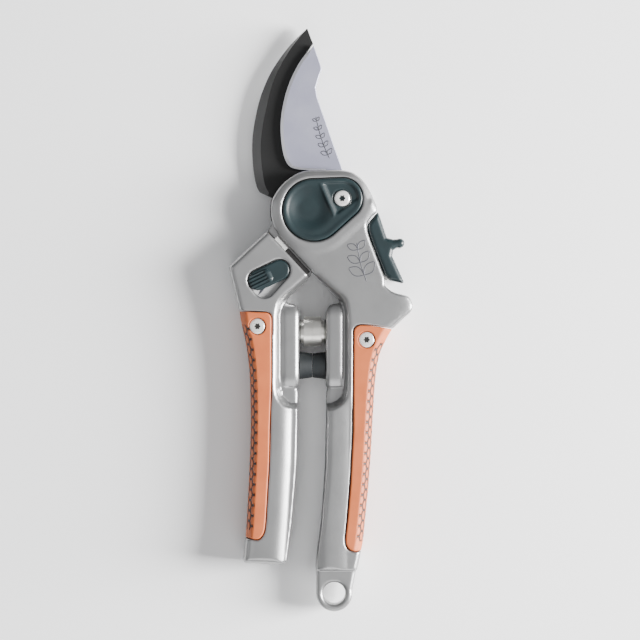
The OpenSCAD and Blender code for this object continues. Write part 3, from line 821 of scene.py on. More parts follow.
@dataclass(frozen=True)
class HoneycombFinish(Finish):
    """A finish with a honeycomb of grooves, drawn from the attributes along, wrap and band; their
    dark colour is painted shade.

    With the nearest cell centre at q, the distance to the cell's wall is
    pitch / 2 - max(|qx|, |qx| / 2 + |qy| sqrt(3) / 2).
    """

    pitch: float = 3.95
    # painted shade: the dark colour laid into the grooves
    groove_shade_colour: str = "#1A0C06"
    groove_width: float = 0.85
    groove_depth: float = 0.7
    groove_flat: float = 0.12    # half width of the groove's floor
    press: float = 0.7           # strength of the grooves' relief

    def groove(self, tree: Tree) -> Socket:
        """1 in a groove, 0 on a cell."""
        along, wrap, band = (
            add(tree, "ShaderNodeAttribute", {"attribute_name": name}).outputs["Fac"]
            for name in ("along", "wrap", "band"))
        cell = (self.pitch, self.pitch * math.sqrt(3), 1.0)
        half = tuple(c / 2 for c in cell)
        place = add(tree, "ShaderNodeCombineXYZ", None, {"X": along, "Y": wrap}).outputs[0]

        def nearest(shift: tuple[float, ...]) -> Socket:
            """Offset from the nearest cell centre of one of the two lattices of cells."""
            moved = add(tree, "ShaderNodeVectorMath", {"operation": "ADD", 1: shift}, {0: place})
            part = add(tree, "ShaderNodeVectorMath", {"operation": "MODULO", 1: cell},
                       {0: moved.outputs[0]})
            return add(tree, "ShaderNodeVectorMath", {"operation": "SUBTRACT", 1: half},
                       {0: part.outputs[0]}).outputs[0]

        ways = [nearest((0.0, 0.0, 0.5)), nearest((half[0], half[1], 0.5))]
        sizes = [add(tree, "ShaderNodeVectorMath", {"operation": "LENGTH"}, {0: w}).outputs["Value"]
                 for w in ways]
        second = add(tree, "ShaderNodeMath", {"operation": "GREATER_THAN"},
                     {0: sizes[0], 1: sizes[1]})
        first, other, out = MIX_VECTOR
        pick = add(tree, "ShaderNodeMix", {"data_type": "VECTOR"},
                   {0: second.outputs[0], first: ways[0], other: ways[1]})
        size = add(tree, "ShaderNodeVectorMath", {"operation": "ABSOLUTE"},
                   {0: pick.outputs[out]})
        slant = add(tree, "ShaderNodeVectorMath", {
            "operation": "DOT_PRODUCT", 1: (0.5, math.sqrt(3) / 2, 0.0)}, {0: size.outputs[0]})
        straight = add(tree, "ShaderNodeSeparateXYZ", None, {0: size.outputs[0]})
        outer = add(tree, "ShaderNodeMath", {"operation": "MAXIMUM"},
                    {0: slant.outputs["Value"], 1: straight.outputs[0]})
        line = add(tree, "ShaderNodeMapRange", {
            "interpolation_type": "SMOOTHSTEP",
            "From Min": self.pitch / 2 - self.groove_width,
            "From Max": self.pitch / 2 - self.groove_flat},
            {"Value": outer.outputs[0]})
        return add(tree, "ShaderNodeMath", {"operation": "MULTIPLY"},
                   {0: line.outputs[0], 1: band}).outputs[0]

    def colour_source(self, tree: Tree,
                      mottle: Socket) -> Socket:
        """The plain colour, giving way to painted shade in the grooves."""
        plain = super().colour_source(tree, mottle)
        return mix_colours(tree, self.groove(tree), plain, self.groove_shade_colour)

    def make(self) -> Material:
        """Builds the material's nodes, with the grooves pressed in."""
        material = super().make()
        tree = material.node_tree
        shader = next(n for n in tree.nodes if n.type == "BSDF_PRINCIPLED")
        fine = shader.inputs["Normal"].links[0].from_socket
        pressed = add(tree, "ShaderNodeBump", {
            "Strength": self.press, "Distance": self.groove_depth * MM, "invert": True},
            {"Height": self.groove(tree), "Normal": fine})
        tree.links.new(pressed.outputs[0], shader.inputs["Normal"])
        return material


# Soft thermoplastic rubber, tan, with a leather-like grain; the honeycomb's grooves are painted
# darker as painted shade
TAN = HoneycombFinish("tan_soft_grip", "#BC6030", "#B3592B", 0.0, 0.56, 0.45, 0.02, 7.0, 0.05)


# --- Flat pieces, round their own centre -----------------------------------------------------


def crossing(points: Sequence[Point], centre: Point, angles: Array) -> Array:
    """How far a ray from the centre runs, at each angle, to its last crossing of the outline."""
    a = np.array(points, float) - centre
    side = np.roll(a, -1, axis=0) - a
    way = np.stack([np.cos(angles), np.sin(angles)], axis=1)[:, None]
    det = way[..., 0] * side[:, 1] - way[..., 1] * side[:, 0]
    det = np.where(np.abs(det) < 1e-9, 1e-9, det)
    far = (a[:, 0] * side[:, 1] - a[:, 1] * side[:, 0]) / det
    share = (a[:, 0] * way[..., 1] - a[:, 1] * way[..., 0]) / det
    hit = (far > 0) & (share >= -1e-6) & (share <= 1 + 1e-6)
    return np.where(hit, far, 0).max(1)


def star_plate(outlines: Sequence[Sequence[Point]], centre: Point, z0: float, z1: float,
               chamfer: float, bore: float = 0.0) -> Mesh:
    """Plate whose outline is the furthest, in each direction, of several outlines.

    Args:
        outlines: the outlines.
        centre: a point that sees every corner.
        z0: lower face.
        z1: upper face.
        chamfer: width of the bevel on both rims.
        bore: radius of a hole at the centre.

    Returns:
        Vertices in mm and quads.
    """
    corners = np.concatenate([np.array(o, float) - centre for o in outlines])
    corners = corners[np.hypot(*corners.T) > 0.5]
    angles = np.unique(np.round(np.concatenate([
        np.arctan2(corners[:, 1], corners[:, 0]) % (2 * math.pi),
        np.linspace(0, 2 * math.pi, 120, endpoint=False)]), 5))
    outer = np.max([crossing(o, centre, angles) for o in outlines], axis=0)
    inner = np.full_like(outer, max(bore, POINT_R))
    rings = [(inner, z0), (outer - chamfer, z0), (outer, z0 + chamfer), (outer, z1 - chamfer),
             (outer - chamfer, z1), (inner, z1)]
    r = np.stack([ring[0] for ring in rings], axis=1)
    z = np.broadcast_to([ring[1] for ring in rings], r.shape)
    verts = np.stack([centre[0] + r * np.cos(angles)[:, None],
                      centre[1] + r * np.sin(angles)[:, None], z], axis=-1)
    return verts.reshape(-1, 3), grid_faces(len(angles), len(rings), closed_rows=True,
                                            closed_columns=bore > 0)


def circle(radius: float, centre: Point = (0.0, 0.0), sides: int = 120) -> list[Point]:
    """A circle's outline."""
    return arc(centre, radius, 0, 360, sides)[:-1]


def moved(mesh: Mesh, at: Sequence[float], flip: bool = False) -> Mesh:
    """A mesh moved to a place, and first turned over about x if asked."""
    verts, faces = mesh
    turn = (1, -1, -1) if flip else (1, 1, 1)
    return verts * turn + np.array(at, float), faces


def along_x(mesh: Mesh, at: Sequence[float], side: float) -> Mesh:
    """A mesh turned so that its z axis runs towards x * side, then moved to a place."""
    verts, faces = mesh
    x, y, z = verts.T
    return np.stack([z * side, y, -x * side], axis=1) + np.array(at, float), faces


# --- Castings --------------------------------------------------------------------------------


@dataclass
class Castings:
    """The two cast halves and the plate behind the head."""

    metal: Material
    step: float = 0.5
    plate_step: float = 0.45
    core_edge: float = 3.4       # rounding of the handles' edges
    cheek_edge: float = 2.8      # rounding of the head's edge
    cheek_foot: float = 6.0      # where the cheek's rounded slab starts, behind its flat back
    crown: float = 1.5           # how far the head's rim lies below its middle
    crown_width: float = 6.5
    drop: float = 0.7            # how far the head's flat lies below the ring round the cap
    grip_gap: float = 0.28       # joint round the grips
    pod_rise: float = 6.4        # the pods' faces above and below the middle plane
    pod_width: float = 6.8
    pod_groove: float = 1.3      # groove between a pod and the ramp beside it
    pod_side: float = 1.6        # slope of a pod's side
    keel_rim: float = 1.2        # how far a pod stays below its rise outside the foot line
    keel_flat: float = 1.2       # half width of the stripe along a pod's middle
    keel_long: float = 10.2      # half length of that stripe
    keel_fall: float = 0.12      # fall beside the stripe, per mm squared
    keel_end: float = 0.05       # fall past its ends, per mm squared
    keel_low: float = 2.2        # how far a pod's foot lies below its face
    ramp: float = 1.9            # the ramp's slope
    back_edge: float = 1.0       # rounding of the back plate's edge
    seat_r: float = 2.9          # seats of the screws behind
    seat_z: float = 2.0
    loop_low: float = 4.0        # back and front face of the hanging loop
    loop_high: float = 14.0
    loop_edge: float = 1.5

    def pods(self, grid: Grid, side: float, pod_x: float, foot: Sequence[Point]) -> Array:
        """Hollow round a spring pod, with the pod's own keel left standing in it.

        With d the distance outside the foot line, |z - mid| may reach
        rise - groove + ramp * d on the ramp round the hollow. Inside the line it may reach the
        keel, which is the rise less a share of the square of the distance from its middle
        stripe, or rise - groove + side * |d| where that is lower.

        Args:
            grid: where the field is sampled.
            side: 1 for the right pod, -1 for the left one.
            pod_x: the pod's inner face.
            foot: the ramp's foot, an outline round the hollow.
        """
        across = (grid.x - pod_x) * side - self.pod_width / 2
        beside = np.maximum(np.abs(across) - self.keel_flat, 0)
        past_end = np.maximum(np.abs(grid.y - (POD_TOP_Y + POD_LOW_Y) / 2) - self.keel_long, 0)
        keel = self.pod_rise - self.keel_fall * beside ** 2
        keel = keel - self.keel_end * past_end ** 2
        bottom = ease(POD_LOW_Y - grid.y, 0.2, 1.0)
        keel = keel * (1 - bottom) + (self.pod_rise - self.keel_low) * bottom
        past = grid.outline(foot)
        ramp = self.pod_rise - self.pod_groove + self.ramp * past
        outside = np.maximum(ramp, np.minimum(keel, self.pod_rise - self.keel_rim))
        within = np.minimum(keel, self.pod_rise - self.pod_groove - self.pod_side * past)
        height = np.where(past > 0, outside, within)
        return np.abs(grid.z - Z.mid) - height

    def handle_crown(self, grid: Grid, values: Array, crest: Sequence[Point], left: float,
                     right: float, reach: float) -> Array:
        """Draws the handle's faces in, by left or right * d^2 at d = min(|x - crest|, reach)."""
        y = np.array([p[1] for p in crest])[::-1]
        x = np.array([p[0] for p in crest])[::-1]
        line = np.interp(grid.y.ravel(), y, x)[None, :, None]
        fall = np.where(grid.x < line, left, right)
        amount = fall * np.minimum(np.abs(grid.x - line), reach) ** 2 * ease(-grid.y, 66, 78)
        return np.maximum(values, np.abs(grid.z - Z.mid) - (Z.mid - amount))

    def right(self) -> Object:
        """The right half: head cheek, handle, spring pod and hanging loop."""
        grid = Grid((-18.0, LOOP_AT[1] - LOOP_R - 1.5, -1.2), (39.5, 17.5, 19.2), self.step)
        core_flat = grid.outline(core_outline())
        core = grid.slab(core_flat, 0, Z.top, self.core_edge)
        core = self.handle_crown(grid, core, [
            (8.2, -70), (7.8, right_y(0.4)), (7.0, right_y(0.7)), (7.4, right_y(0.9))],
            0.045, 0.024, 5.6)
        core = meet(core, right_y(0.875) - grid.y + 0 * core, 0.8)
        cheek = grid.slab(grid.outline(cheek_outline()), self.cheek_foot, Z.top, self.cheek_edge)
        cheek = np.maximum(cheek, Z.cheek_low - grid.z)
        body = np.minimum(core, cheek)

        # the head's faces draw in towards its rim, except beside the lock
        rim = grid.outline(cheek_outline()[:-3] + [
            (30, -45.4), (25, -56), (23, -90), (4, -90), (4, -40), (9.3, -33.5)])
        away = ease(np.hypot(grid.x - 31, grid.y + 14), 15, 21) * ease(grid.y, -47, -38)
        share = np.clip(1 + rim / self.crown_width, 0, 1) * away
        body = np.maximum(body, grid.z - (Z.top - self.crown * share ** 2))

        # the flat of the head, below the ring round the cap
        cap = grid.outline(cap_outline())
        low = self.drop * ease(cap, 2.6, 5.6) * ease(grid.y, -52, -34)
        body = meet(body, grid.z - (Z.top - low), 0.8)

        # room for the counter-blade and the back plate
        head = np.minimum(grid.outline(back_outline()), grid.round_hole((0, 0), HEAD_R + 0.5))
        body = cut(body, np.maximum(head - 0.12, grid.z - Z.hook_low), 0.3)
        foot = np.minimum(grid.outline(hook_tail_outline()), grid.round_hole((0, 0), HOOK_R))
        body = np.maximum(body, -np.maximum(foot - 0.1, grid.z - Z.hook_top - 0.02))

        # notch of the lock, cap seat and grip joint
        body = cut(body, grid.outline(notch_outline()) + 0 * body, 1.0)
        body = cut(body, np.maximum(cap - 0.28, Z.cap_low - 0.6 - grid.z), 0.5)
        grip = grid.outline(right_grip_outline())
        body = cut(body, grip - self.grip_gap + 0 * body, 0.35)

        # spring pod
        pod = self.pods(grid, 1.0, RIGHT_POD_X, [(0.6, -25.9)] + curve([
            (8.4, -32.6), (10.6, -34.8), (11.6, -38.1), (11.7, -45), (11.7, -60), (11.6, -67.6),
            (10.6, -71.3), (7.8, -73.5), (5.6, -74.0)]) + [(-2, -74.1), (-2, -28)])
        body = meet(body, pod, 1.6)

        # hanging loop
        tab_flat = np.minimum(grid.round_hole(LOOP_AT, LOOP_R), grid.outline([
            (0.9, right_y(0.85)), (16.6, right_y(0.85)), (14.7, LOOP_AT[1] + 0.8),
            (1.0, LOOP_AT[1] + 0.8)]))
        tab = grid.slab(tab_flat, self.loop_low, self.loop_high, self.loop_edge)
        tab = cut(tab, grid.round_hole(LOOP_AT, HOLE_R) + 0 * tab, 1.6)
        body = np.minimum(body, tab)
        return build_field("right_casting", body, grid, self.metal, Body.RIGHT, "right_handle")

    def left(self) -> Object:
        """The left half: ring and neck over the blade, body, window and spring pod."""
        grid = Grid((-34.0, -REACH.left - 1.5, -1.2), (14.0, 14.0, 19.2), self.step)
        flat = grid.outline(left_body_outline())
        body = grid.slab(flat, 0, Z.top, self.core_edge)
        body = self.handle_crown(grid, body, [
            (-14.0, -70), (-14.6, left_y(0.35)), (-15.8, left_y(0.7)), (-17.2, left_y(1))],
            0.008, 0.046, 6.0)
        along = grid.x * STEP_DIR[0] + grid.y * STEP_DIR[1]
        body = meet(body, STEP_D - along + 0 * body, 0.7)
        low = self.drop * ease(grid.y, -52, -34)
        body = meet(body, grid.z - (Z.top - low), 0.5)
        grip = grid.outline(left_grip_outline())
        body = cut(body, grip - self.grip_gap + 0 * body, 0.35)
        pod = self.pods(grid, -1.0, LEFT_POD_X, [(-0.7, -25.9)] + curve([
            (-9.6, -33.3), (-11.8, -35.8), (-12.7, -40), (-12.7, -45), (-12.7, -60),
            (-12.7, -67.6), (-11.7, -71.3), (-9.2, -73.5), (-6.4, -74.0)]) + [(2, -74.1), (2, -24)])
        body = meet(body, pod, 1.6)
        neck_flat = np.minimum(grid.round_hole((0, 0), HUB_R), grid.outline(neck_outline()))
        neck = grid.slab(neck_flat, Z.blade_top - 0.06, Z.hub_top, 0.3)
        body = np.minimum(body, neck)
        window = grid.outline(window_outline())
        body = cut(body, np.maximum(window, Z.top - WINDOW_DEPTH - grid.z), 0.5)
        body = np.maximum(body, -(grid.round_hole((0, 0), PIVOT_R + 1.3) + 0 * body))
        for at in BLADE_SCREWS:
            seat = np.maximum(grid.round_hole(at, self.seat_r), grid.z - self.seat_z)
            body = cut(body, seat, 0.3)
        return build_field("left_casting", body, grid, self.metal, Body.LEFT, "left_handle")

    def back(self) -> Object:
        """The plate behind the head, with its screw seats."""
        grid = Grid((-18.5, -33.0, -1.0), (26.5, 17.5, 4.6), self.plate_step)
        plate = grid.slab(grid.outline(back_outline()) + 0.1, 0, Z.back_top - 0.02,
                          self.back_edge)
        plate = cut(plate, np.maximum(grid.round_hole((0, 0), 7.8), grid.z - 1.9), 0.3)
        for at in PLATE_SCREWS:
            seat = np.maximum(grid.round_hole(at, self.seat_r), grid.z - self.seat_z)
            plate = cut(plate, seat, 0.3)
        return build_field("back_plate_casting", plate, grid, self.metal, Body.RIGHT,
                           "back_plate")


def window_outline() -> list[Point]:
    """Window in the left handle that the selector lever swings in."""
    return hull_outline((LEVER_AT, 4.2), (LEVER_END, 4.2), (LEVER_LOW, 4.2))


# --- Grips -----------------------------------------------------------------------------------


@dataclass
class Grips:
    """The two tan grips, with a honeycomb band round their outer sides."""

    rubber: Material
    step: float = 0.32
    side_r: float = 6.0          # roundness of the outer side
    flat_in: float = 2.8         # where that side meets the flat front and back
    squeeze: float = 1.75        # how much narrower the cells are round the side than along it
    seat_r: float = 3.2          # the screw's seat
    seat_depth: float = 1.7
    along_from: float = 300.0    # offsets that keep the honeycomb's coordinates above zero
    wrap_from: float = 100.0

    def shape(self, name: str, box: tuple[Point, Point], handle: list[Point],
              grip: list[Point], screw: Point, ends: Point, body: Body,
              node: str) -> Object:
        """One grip.

        Args:
            name: the piece's name.
            box: lowest and highest x and y.
            handle: the casting's outline.
            grip: the grip's outline.
            screw: the screw's place.
            ends: y of the honeycomb's upper and lower end.
            body: the body that it moves with.
            node: the CAD node that it stands for.

        Returns:
            The new object.
        """
        grid = Grid((*box[0], -0.9), (*box[1], Z.top + 0.9), self.step)
        outer = grid.outline(handle)
        flat = np.maximum(outer, grid.outline(grip))
        rise = math.sqrt(self.side_r ** 2 - (self.side_r - self.flat_in) ** 2)
        tall = Z.mid - rise + self.side_r
        wall = grid.slab(outer, Z.mid - tall, Z.mid + tall, self.side_r)
        solid = meet(grid.slab(flat, 0, Z.top, 0.5), wall, 0.25)
        seat = np.maximum(grid.round_hole(screw, self.seat_r), Z.top - self.seat_depth - grid.z)
        solid = cut(solid, seat, 0.25)
        verts, faces = net_surface(solid, grid)
        obj = build(name, verts, faces, self.rubber, body, node)
        inside = -sample(outer + 0 * solid, grid, verts)
        up = verts[:, 2] - Z.mid
        turn = np.arctan2(np.maximum(np.abs(up) - (tall - self.side_r), 0),
                          np.maximum(self.side_r - inside, 1e-3))
        wrap = np.minimum(np.abs(up), tall - self.side_r) + self.side_r * turn
        attribute(obj, "along", verts[:, 1] + self.along_from)
        attribute(obj, "wrap", self.wrap_from + self.squeeze * np.sign(up) * wrap)
        fade = ease(self.flat_in + 0.1 - inside, 0, 0.35)
        fade = fade * ease(ends[0] - verts[:, 1], 0, 0.4) * ease(verts[:, 1] - ends[1], 0, 0.4)
        attribute(obj, "band", fade)
        return obj

    def build_all(self) -> None:
        """Both grips."""
        outer, inner = right_sides()
        right_handle = [(9.3, -33.5), (34.9, -32.5)] + HORN + outer + inner
        self.shape("right_grip_rubber", ((10.5, right_y(0.78)), (32.5, -43.0)), right_handle,
                   right_grip_outline(), RIGHT_SCREW, (-50.5, right_y(0.72)), Body.RIGHT,
                   "right_grip")
        self.shape("left_grip_rubber", ((-31.0, left_y(0.86)), (-14.5, -36.5)),
                   left_body_outline(), left_grip_outline(), LEFT_SCREW,
                   (-43.5, left_y(0.78)), Body.LEFT, "left_grip")


# --- Blades ----------------------------------------------------------------------------------


@dataclass
class Blades:
    """The cutting blade in front and the counter-blade behind it."""

    steel: Material
    coated: Material
    rows: int = 90
    edge_bevel: float = 1.1      # the ground edge of the cutting blade
    edge_lip: float = 2.5        # height of that edge's side
    edge_taper: float = 0.1      # share of its length over which it narrows at the tip
    back_bevel: float = 3.4      # the ground outer edge of the counter-blade
    back_lip: float = 1.7
    back_taper: float = 0.5
    tip_share: float = 0.06      # what is left of a bevel at the tip
    deepest: float = 0.6         # the most of a blade's width that a bevel takes
    rim: float = 0.25            # chamfer of the side that isn't ground
    root_r: float = 11.4         # the cutting blade's disc, in the left half's ring
    root_bore: float = 5.28      # its hole, round the bushing

    def loft(self, ground: list[Point], other: list[Point], z0: float, z1: float,
             bevel: float, lip: float, taper: float) -> MarkedMesh:
        """Blade between its ground side and its other side.

        Row i joins the two sides at the same share of their lengths. From the ground side,
        at height z0 + lip, the bevel rises to z1 over its width.

        Args:
            ground: the ground side, from root to tip.
            other: the other side, from root to tip.
            z0: lower face.
            z1: upper face.
            bevel: width of the ground bevel.
            lip: height of the ground side.
            taper: share of the length, at the tip, over which the bevel narrows.

        Returns:
            Vertices in mm, quads, and 1 on the bevel and 0 elsewhere for each vertex.
        """
        a, b = (self.even(side) for side in (ground, other))
        along = np.gradient(a, axis=0)
        along /= np.hypot(*along.T)[:, None]
        inward = np.stack([along[:, 1], -along[:, 0]], axis=1)
        inward *= np.sign((inward * (b - a)).sum(1).mean())
        deep = np.maximum(((b - a) * inward).sum(1), 1e-6)
        share = np.linspace(1, 0, self.rows) / max(taper, 1e-6)
        width = bevel * np.minimum(share + self.tip_share, 1)
        width = np.minimum(width, self.deepest * deep)[:, None]
        across = (b - a) / np.maximum(np.hypot(*(b - a).T), 1e-6)[:, None]
        crease, shy = a + (b - a) * width / deep[:, None], b - across * self.rim
        columns = [(b, z0, 0), (a, z0, 0), (a, z0 + lip, 0), (a, z0 + lip, 1), (crease, z1, 1),
                   (crease, z1, 0), (shy, z1, 0), (b, z1 - self.rim, 0)]
        verts = np.stack([np.column_stack((p, np.full(self.rows, z))) for p, z, _ in columns], 1)
        mark = np.broadcast_to([float(c[2]) for c in columns], (self.rows, len(columns)))
        ends = [np.broadcast_to(v.mean(1, keepdims=True), v.shape)
                for v in (verts[:1], verts[-1:])]
        verts = np.concatenate((ends[0], verts, ends[1]))
        mark = np.vstack((mark[:1], mark, mark[-1:]))
        faces = grid_faces(len(verts), len(columns), closed_columns=True)
        return verts.reshape(-1, 3), faces, mark.ravel()

    def even(self, points: list[Point]) -> Array:
        """A side resampled at equal steps of its length."""
        p = np.array(points, float)
        length = np.concatenate(([0], np.cumsum(np.hypot(*np.diff(p, axis=0).T))))
        at = np.linspace(0, length[-1], self.rows)
        return np.stack([np.interp(at, length, p[:, i]) for i in (0, 1)], axis=1)

    def piece(self, name: str, blade: MarkedMesh, root: Mesh,
              material: Material, body: Body, node: str) -> None:
        """Joins a blade and its root and stores where the bevel is."""
        verts, faces = gather([blade[:2], root])
        obj = build(name, verts, faces, material, body, node, sharp=25)
        attribute(obj, "bevel", np.concatenate((blade[2], np.zeros(len(root[0])))))

    def build_all(self) -> None:
        """Both blades."""
        cut_side = curve([
            (-0.6, blade_y(0.012)), (-5.9, blade_y(0.017)), (-8.9, blade_y(0.037)),
            (-10.6, blade_y(0.083)), (-11.7, blade_y(0.155)),
            (-12.4, blade_y(0.257)), (-12.6, blade_y(0.369)), (-12, blade_y(0.494)),
            (-10.4, blade_y(0.637)), (-7.9, blade_y(0.77)), (-4.5, blade_y(0.893)),
            (0.1, blade_y(1))])
        spine = [(12.2, 12), (11.3, blade_y(0)), (1.4, blade_y(0.585))] + curve([
            (0.8, blade_y(0.665)), (2.3, blade_y(0.77)), (2.9, blade_y(0.8)),
            (2.8, blade_y(0.835)), (0.1, blade_y(1))])
        blade = self.loft(cut_side, spine, Z.blade_low, Z.blade_top, self.edge_bevel,
                          self.edge_lip, self.edge_taper)
        root = star_plate([circle(self.root_r), tang_outline(), [
            (-0.6, 15.5), (11.6, 14.0), (10.9, 2), (-3.5, 11)]],
            (0, 0), Z.blade_low + 0.02, Z.blade_top - 0.03, 0.1, bore=self.root_bore)
        self.piece("cutting_blade_steel", blade, root, self.steel, Body.LEFT, "cutting_blade")
        back_side = curve([
            (-20.6, 7.1), (-21.9, 9.4), (-22.9, 14.1),
            (-23.5, 19.9), (-23.6, hook_y(0.34)), (-22.9, hook_y(0.436)),
            (-21.5, hook_y(0.542)), (-19.6, hook_y(0.637)), (-16.2, hook_y(0.75)),
            (-11.3, hook_y(0.86)), (-6.5, hook_y(0.943)), (-2.5, hook_y(1))])
        edge = [(-15.4, 4.8), (-10, 9)] + curve([
            (-4, hook_y(0.19)), (-8.6, hook_y(0.24)), (-10.6, hook_y(0.38)),
            (-10.8, hook_y(0.52)), (-9.2, hook_y(0.66)), (-5, hook_y(0.8)),
            (-0.2, hook_y(0.91))])
        hook = self.loft(back_side, edge, Z.hook_low, Z.hook_top, self.back_bevel,
                         self.back_lip, self.back_taper)
        root = star_plate([circle(HOOK_R), hook_tail_outline()], (0, 0), Z.hook_low + 0.02,
                          Z.hook_top - 0.02, 0.15, bore=PIVOT_R)
        self.piece("counter_blade_steel", hook, root, self.coated, Body.RIGHT, "counter_blade")


# --- Pivot, screws and small parts -----------------------------------------------------------


@dataclass
class Pivot:
    """Cap, post, bolt, washer and bushing on the pivot axis."""

    cap: Material
    steel: Material
    bronze: Material
    step: float = 0.32
    ring_r: float = 5.25         # outer radius of the bushing
    washer_r: float = 11.0
    dish: float = 1.15           # depth of the cap's bowl
    sunk: float = 0.32           # how far the cap's middle lies below its rim
    pocket: float = 0.85         # depth of the pocket round the screw

    def build_all(self) -> None:
        """All of the pivot's pieces."""
        self.cap_piece()
        post = gather([turned(rounded_profile(7.6, 0, 1.8, 0.4, 0.2)),
                       turned(rounded_profile(PIVOT_R, 1.7, Z.cap_low - 1.6, 0.2, 0.2))])
        build("post_steel", *post, self.steel, Body.RIGHT, "pivot_post", sharp=30)
        bolt = gather([turned(rounded_profile(6.2, Z.cap_low - 1.6, Z.cap_low - 0.56, 0.1, 0.3)),
                       turned(rounded_profile(2.6, Z.back_top + 0.4, Z.cap_low - 1.5, 0.3, 0.1))])
        build("bolt_steel", *bolt, self.steel, Body.RIGHT, "pivot_bolt", sharp=30)
        washer = star_plate([circle(self.washer_r)], (0, 0), Z.hub_top + 0.1, Z.cheek_low, 0.08,
                            bore=PIVOT_R + 0.03)
        build("washer_bronze", *washer, self.bronze, Body.RIGHT, "thrust_washer", sharp=30)
        bushing = star_plate([circle(self.ring_r)], (0, 0), Z.blade_low, Z.hub_top, 0.1,
                             bore=PIVOT_R + 0.05)
        build("bushing_bronze", *bushing, self.bronze, Body.LEFT, "pivot_bushing", sharp=30)

    def cap_piece(self) -> None:
        """The cap: a dished bowl beside the pivot and a pocket round the screw.

        The bowl sinks by d (1 - smooth(r / R)) round its centre; the pocket is the part where
        two slanted lines and the rim are all on its side, and it sinks away from the first.
        """
        under = Z.cap_low - 0.5
        grid = Grid((-13.4, -13.4, under - 0.8), (20.4, 13.8, Z.top + 0.8), self.step)
        flat = grid.outline(cap_outline())
        body = grid.slab(flat, under - 2.6, Z.top, 0.8)
        body = np.maximum(body, under - grid.z)
        reach = np.hypot(grid.x + 1.6, grid.y - 0.7)
        dish = self.dish * (1 - ease(reach, 3.4, 9.8))
        rim = self.sunk * ease(-flat, 0.8, 2.6)
        left = (grid.x - 3.2) * 0.922 + (grid.y - 7.3) * 0.387
        low = -(grid.x - 7.4) * 0.589 + (grid.y + 2.7) * 0.808
        wedge = ease(np.minimum(left, low), -0.5, 0.6) * ease(-flat, 1.2, 2.4)
        fall = (dish + rim) * (1 - wedge) + self.pocket * ease(left, 0.2, 2.9) * wedge
        body = meet(body, grid.z - (Z.top - 0.05 - fall), 0.5)
        seat = grid.round_hole(CAP_SCREW, 3.5)
        body = cut(body, np.maximum(seat, Z.top - 1.25 - grid.z), 0.3)
        build_field("cap_nylon", body, grid, self.cap, Body.RIGHT, "pivot_cap")


@dataclass
class Screws:
    """Every screw."""

    bright: Material
    zinc: Material
    grip_head: float = 3.0       # radius of the heads in front
    head_height: float = 0.85
    head_dome: float = 0.3
    small_head: float = 2.7      # radius of the heads behind
    small_height: float = 0.6
    small_dome: float = 0.25
    small_rim: float = 1.3       # where they start, above the back face
    flat_head: float = 1.4       # height of the counter-blade's screw heads
    shank: float = 1.5
    recess: float = 0.43         # the recess's share of a front head's radius

    def shank_mesh(self, z0: float, z1: float) -> Mesh:
        """A plain shank."""
        return turned(rounded_profile(self.shank, z0, z1, 0.3, 0.1), 24)

    def front(self, name: str, at: Point, rim: float, tip: float, body: Body, node: str) -> None:
        """A screw whose head faces forwards, its rim starting at a height."""
        mesh = gather([moved(screw_head(self.grip_head, self.head_height, self.head_dome),
                             (*at, rim)),
                       moved(self.shank_mesh(tip, rim - 0.5), (*at, 0))])
        obj = build(name, *mesh, self.bright, body, node, sharp=35)
        # painted shade: vertices inside the recess are marked for the finish's darker colour
        out = np.hypot(*(mesh[0][:, :2] - at).T)
        sunk = (out < self.recess * self.grip_head) & (mesh[0][:, 2] < rim + 0.9)
        attribute(obj, "recess", sunk.astype(float))

    def behind(self, name: str, places: Sequence[Point], tip: float, body: Body,
               node: str) -> None:
        """Small screws whose heads face backwards."""
        head = screw_head(self.small_head, self.small_height, self.small_dome)
        parts = []
        for at in places:
            parts.append(moved(head, (*at, self.small_rim), flip=True))
            parts.append(moved(self.shank_mesh(1.8, tip), (*at, 0)))
        build(name, *gather(parts), self.zinc, body, node, sharp=35)

    def build_all(self) -> None:
        """All of the screws."""
        for node, at, tip, body in (
                ("right_grip_screw", RIGHT_SCREW, 6, Body.RIGHT),
                ("left_grip_screw", LEFT_SCREW, 6, Body.LEFT),
                ("cap_screw", CAP_SCREW, Z.cheek_low + 0.5, Body.RIGHT)):
            self.front(f"{node}_head", at, Z.top - SCREW_RIM, tip, body, node)
        self.behind("plate_screw_heads", PLATE_SCREWS, 10, Body.RIGHT, "back_plate_screws")
        self.behind("blade_screw_heads", BLADE_SCREWS, Z.blade_top + 0.8, Body.LEFT,
                    "blade_screws")
        under = Z.hook_low + self.flat_head
        head = turned(rounded_profile(self.small_head, Z.hook_low, under, 0.2, 0.1), 32)
        hidden = [moved(self.shank_mesh(under, 11), (*at, 0)) for at in HOOK_SCREWS]
        hidden += [moved(head, (*at, 0)) for at in HOOK_SCREWS]
        build("counter_blade_screw_heads", *gather(hidden), self.zinc, Body.RIGHT,
              "counter_blade_screws", sharp=35)


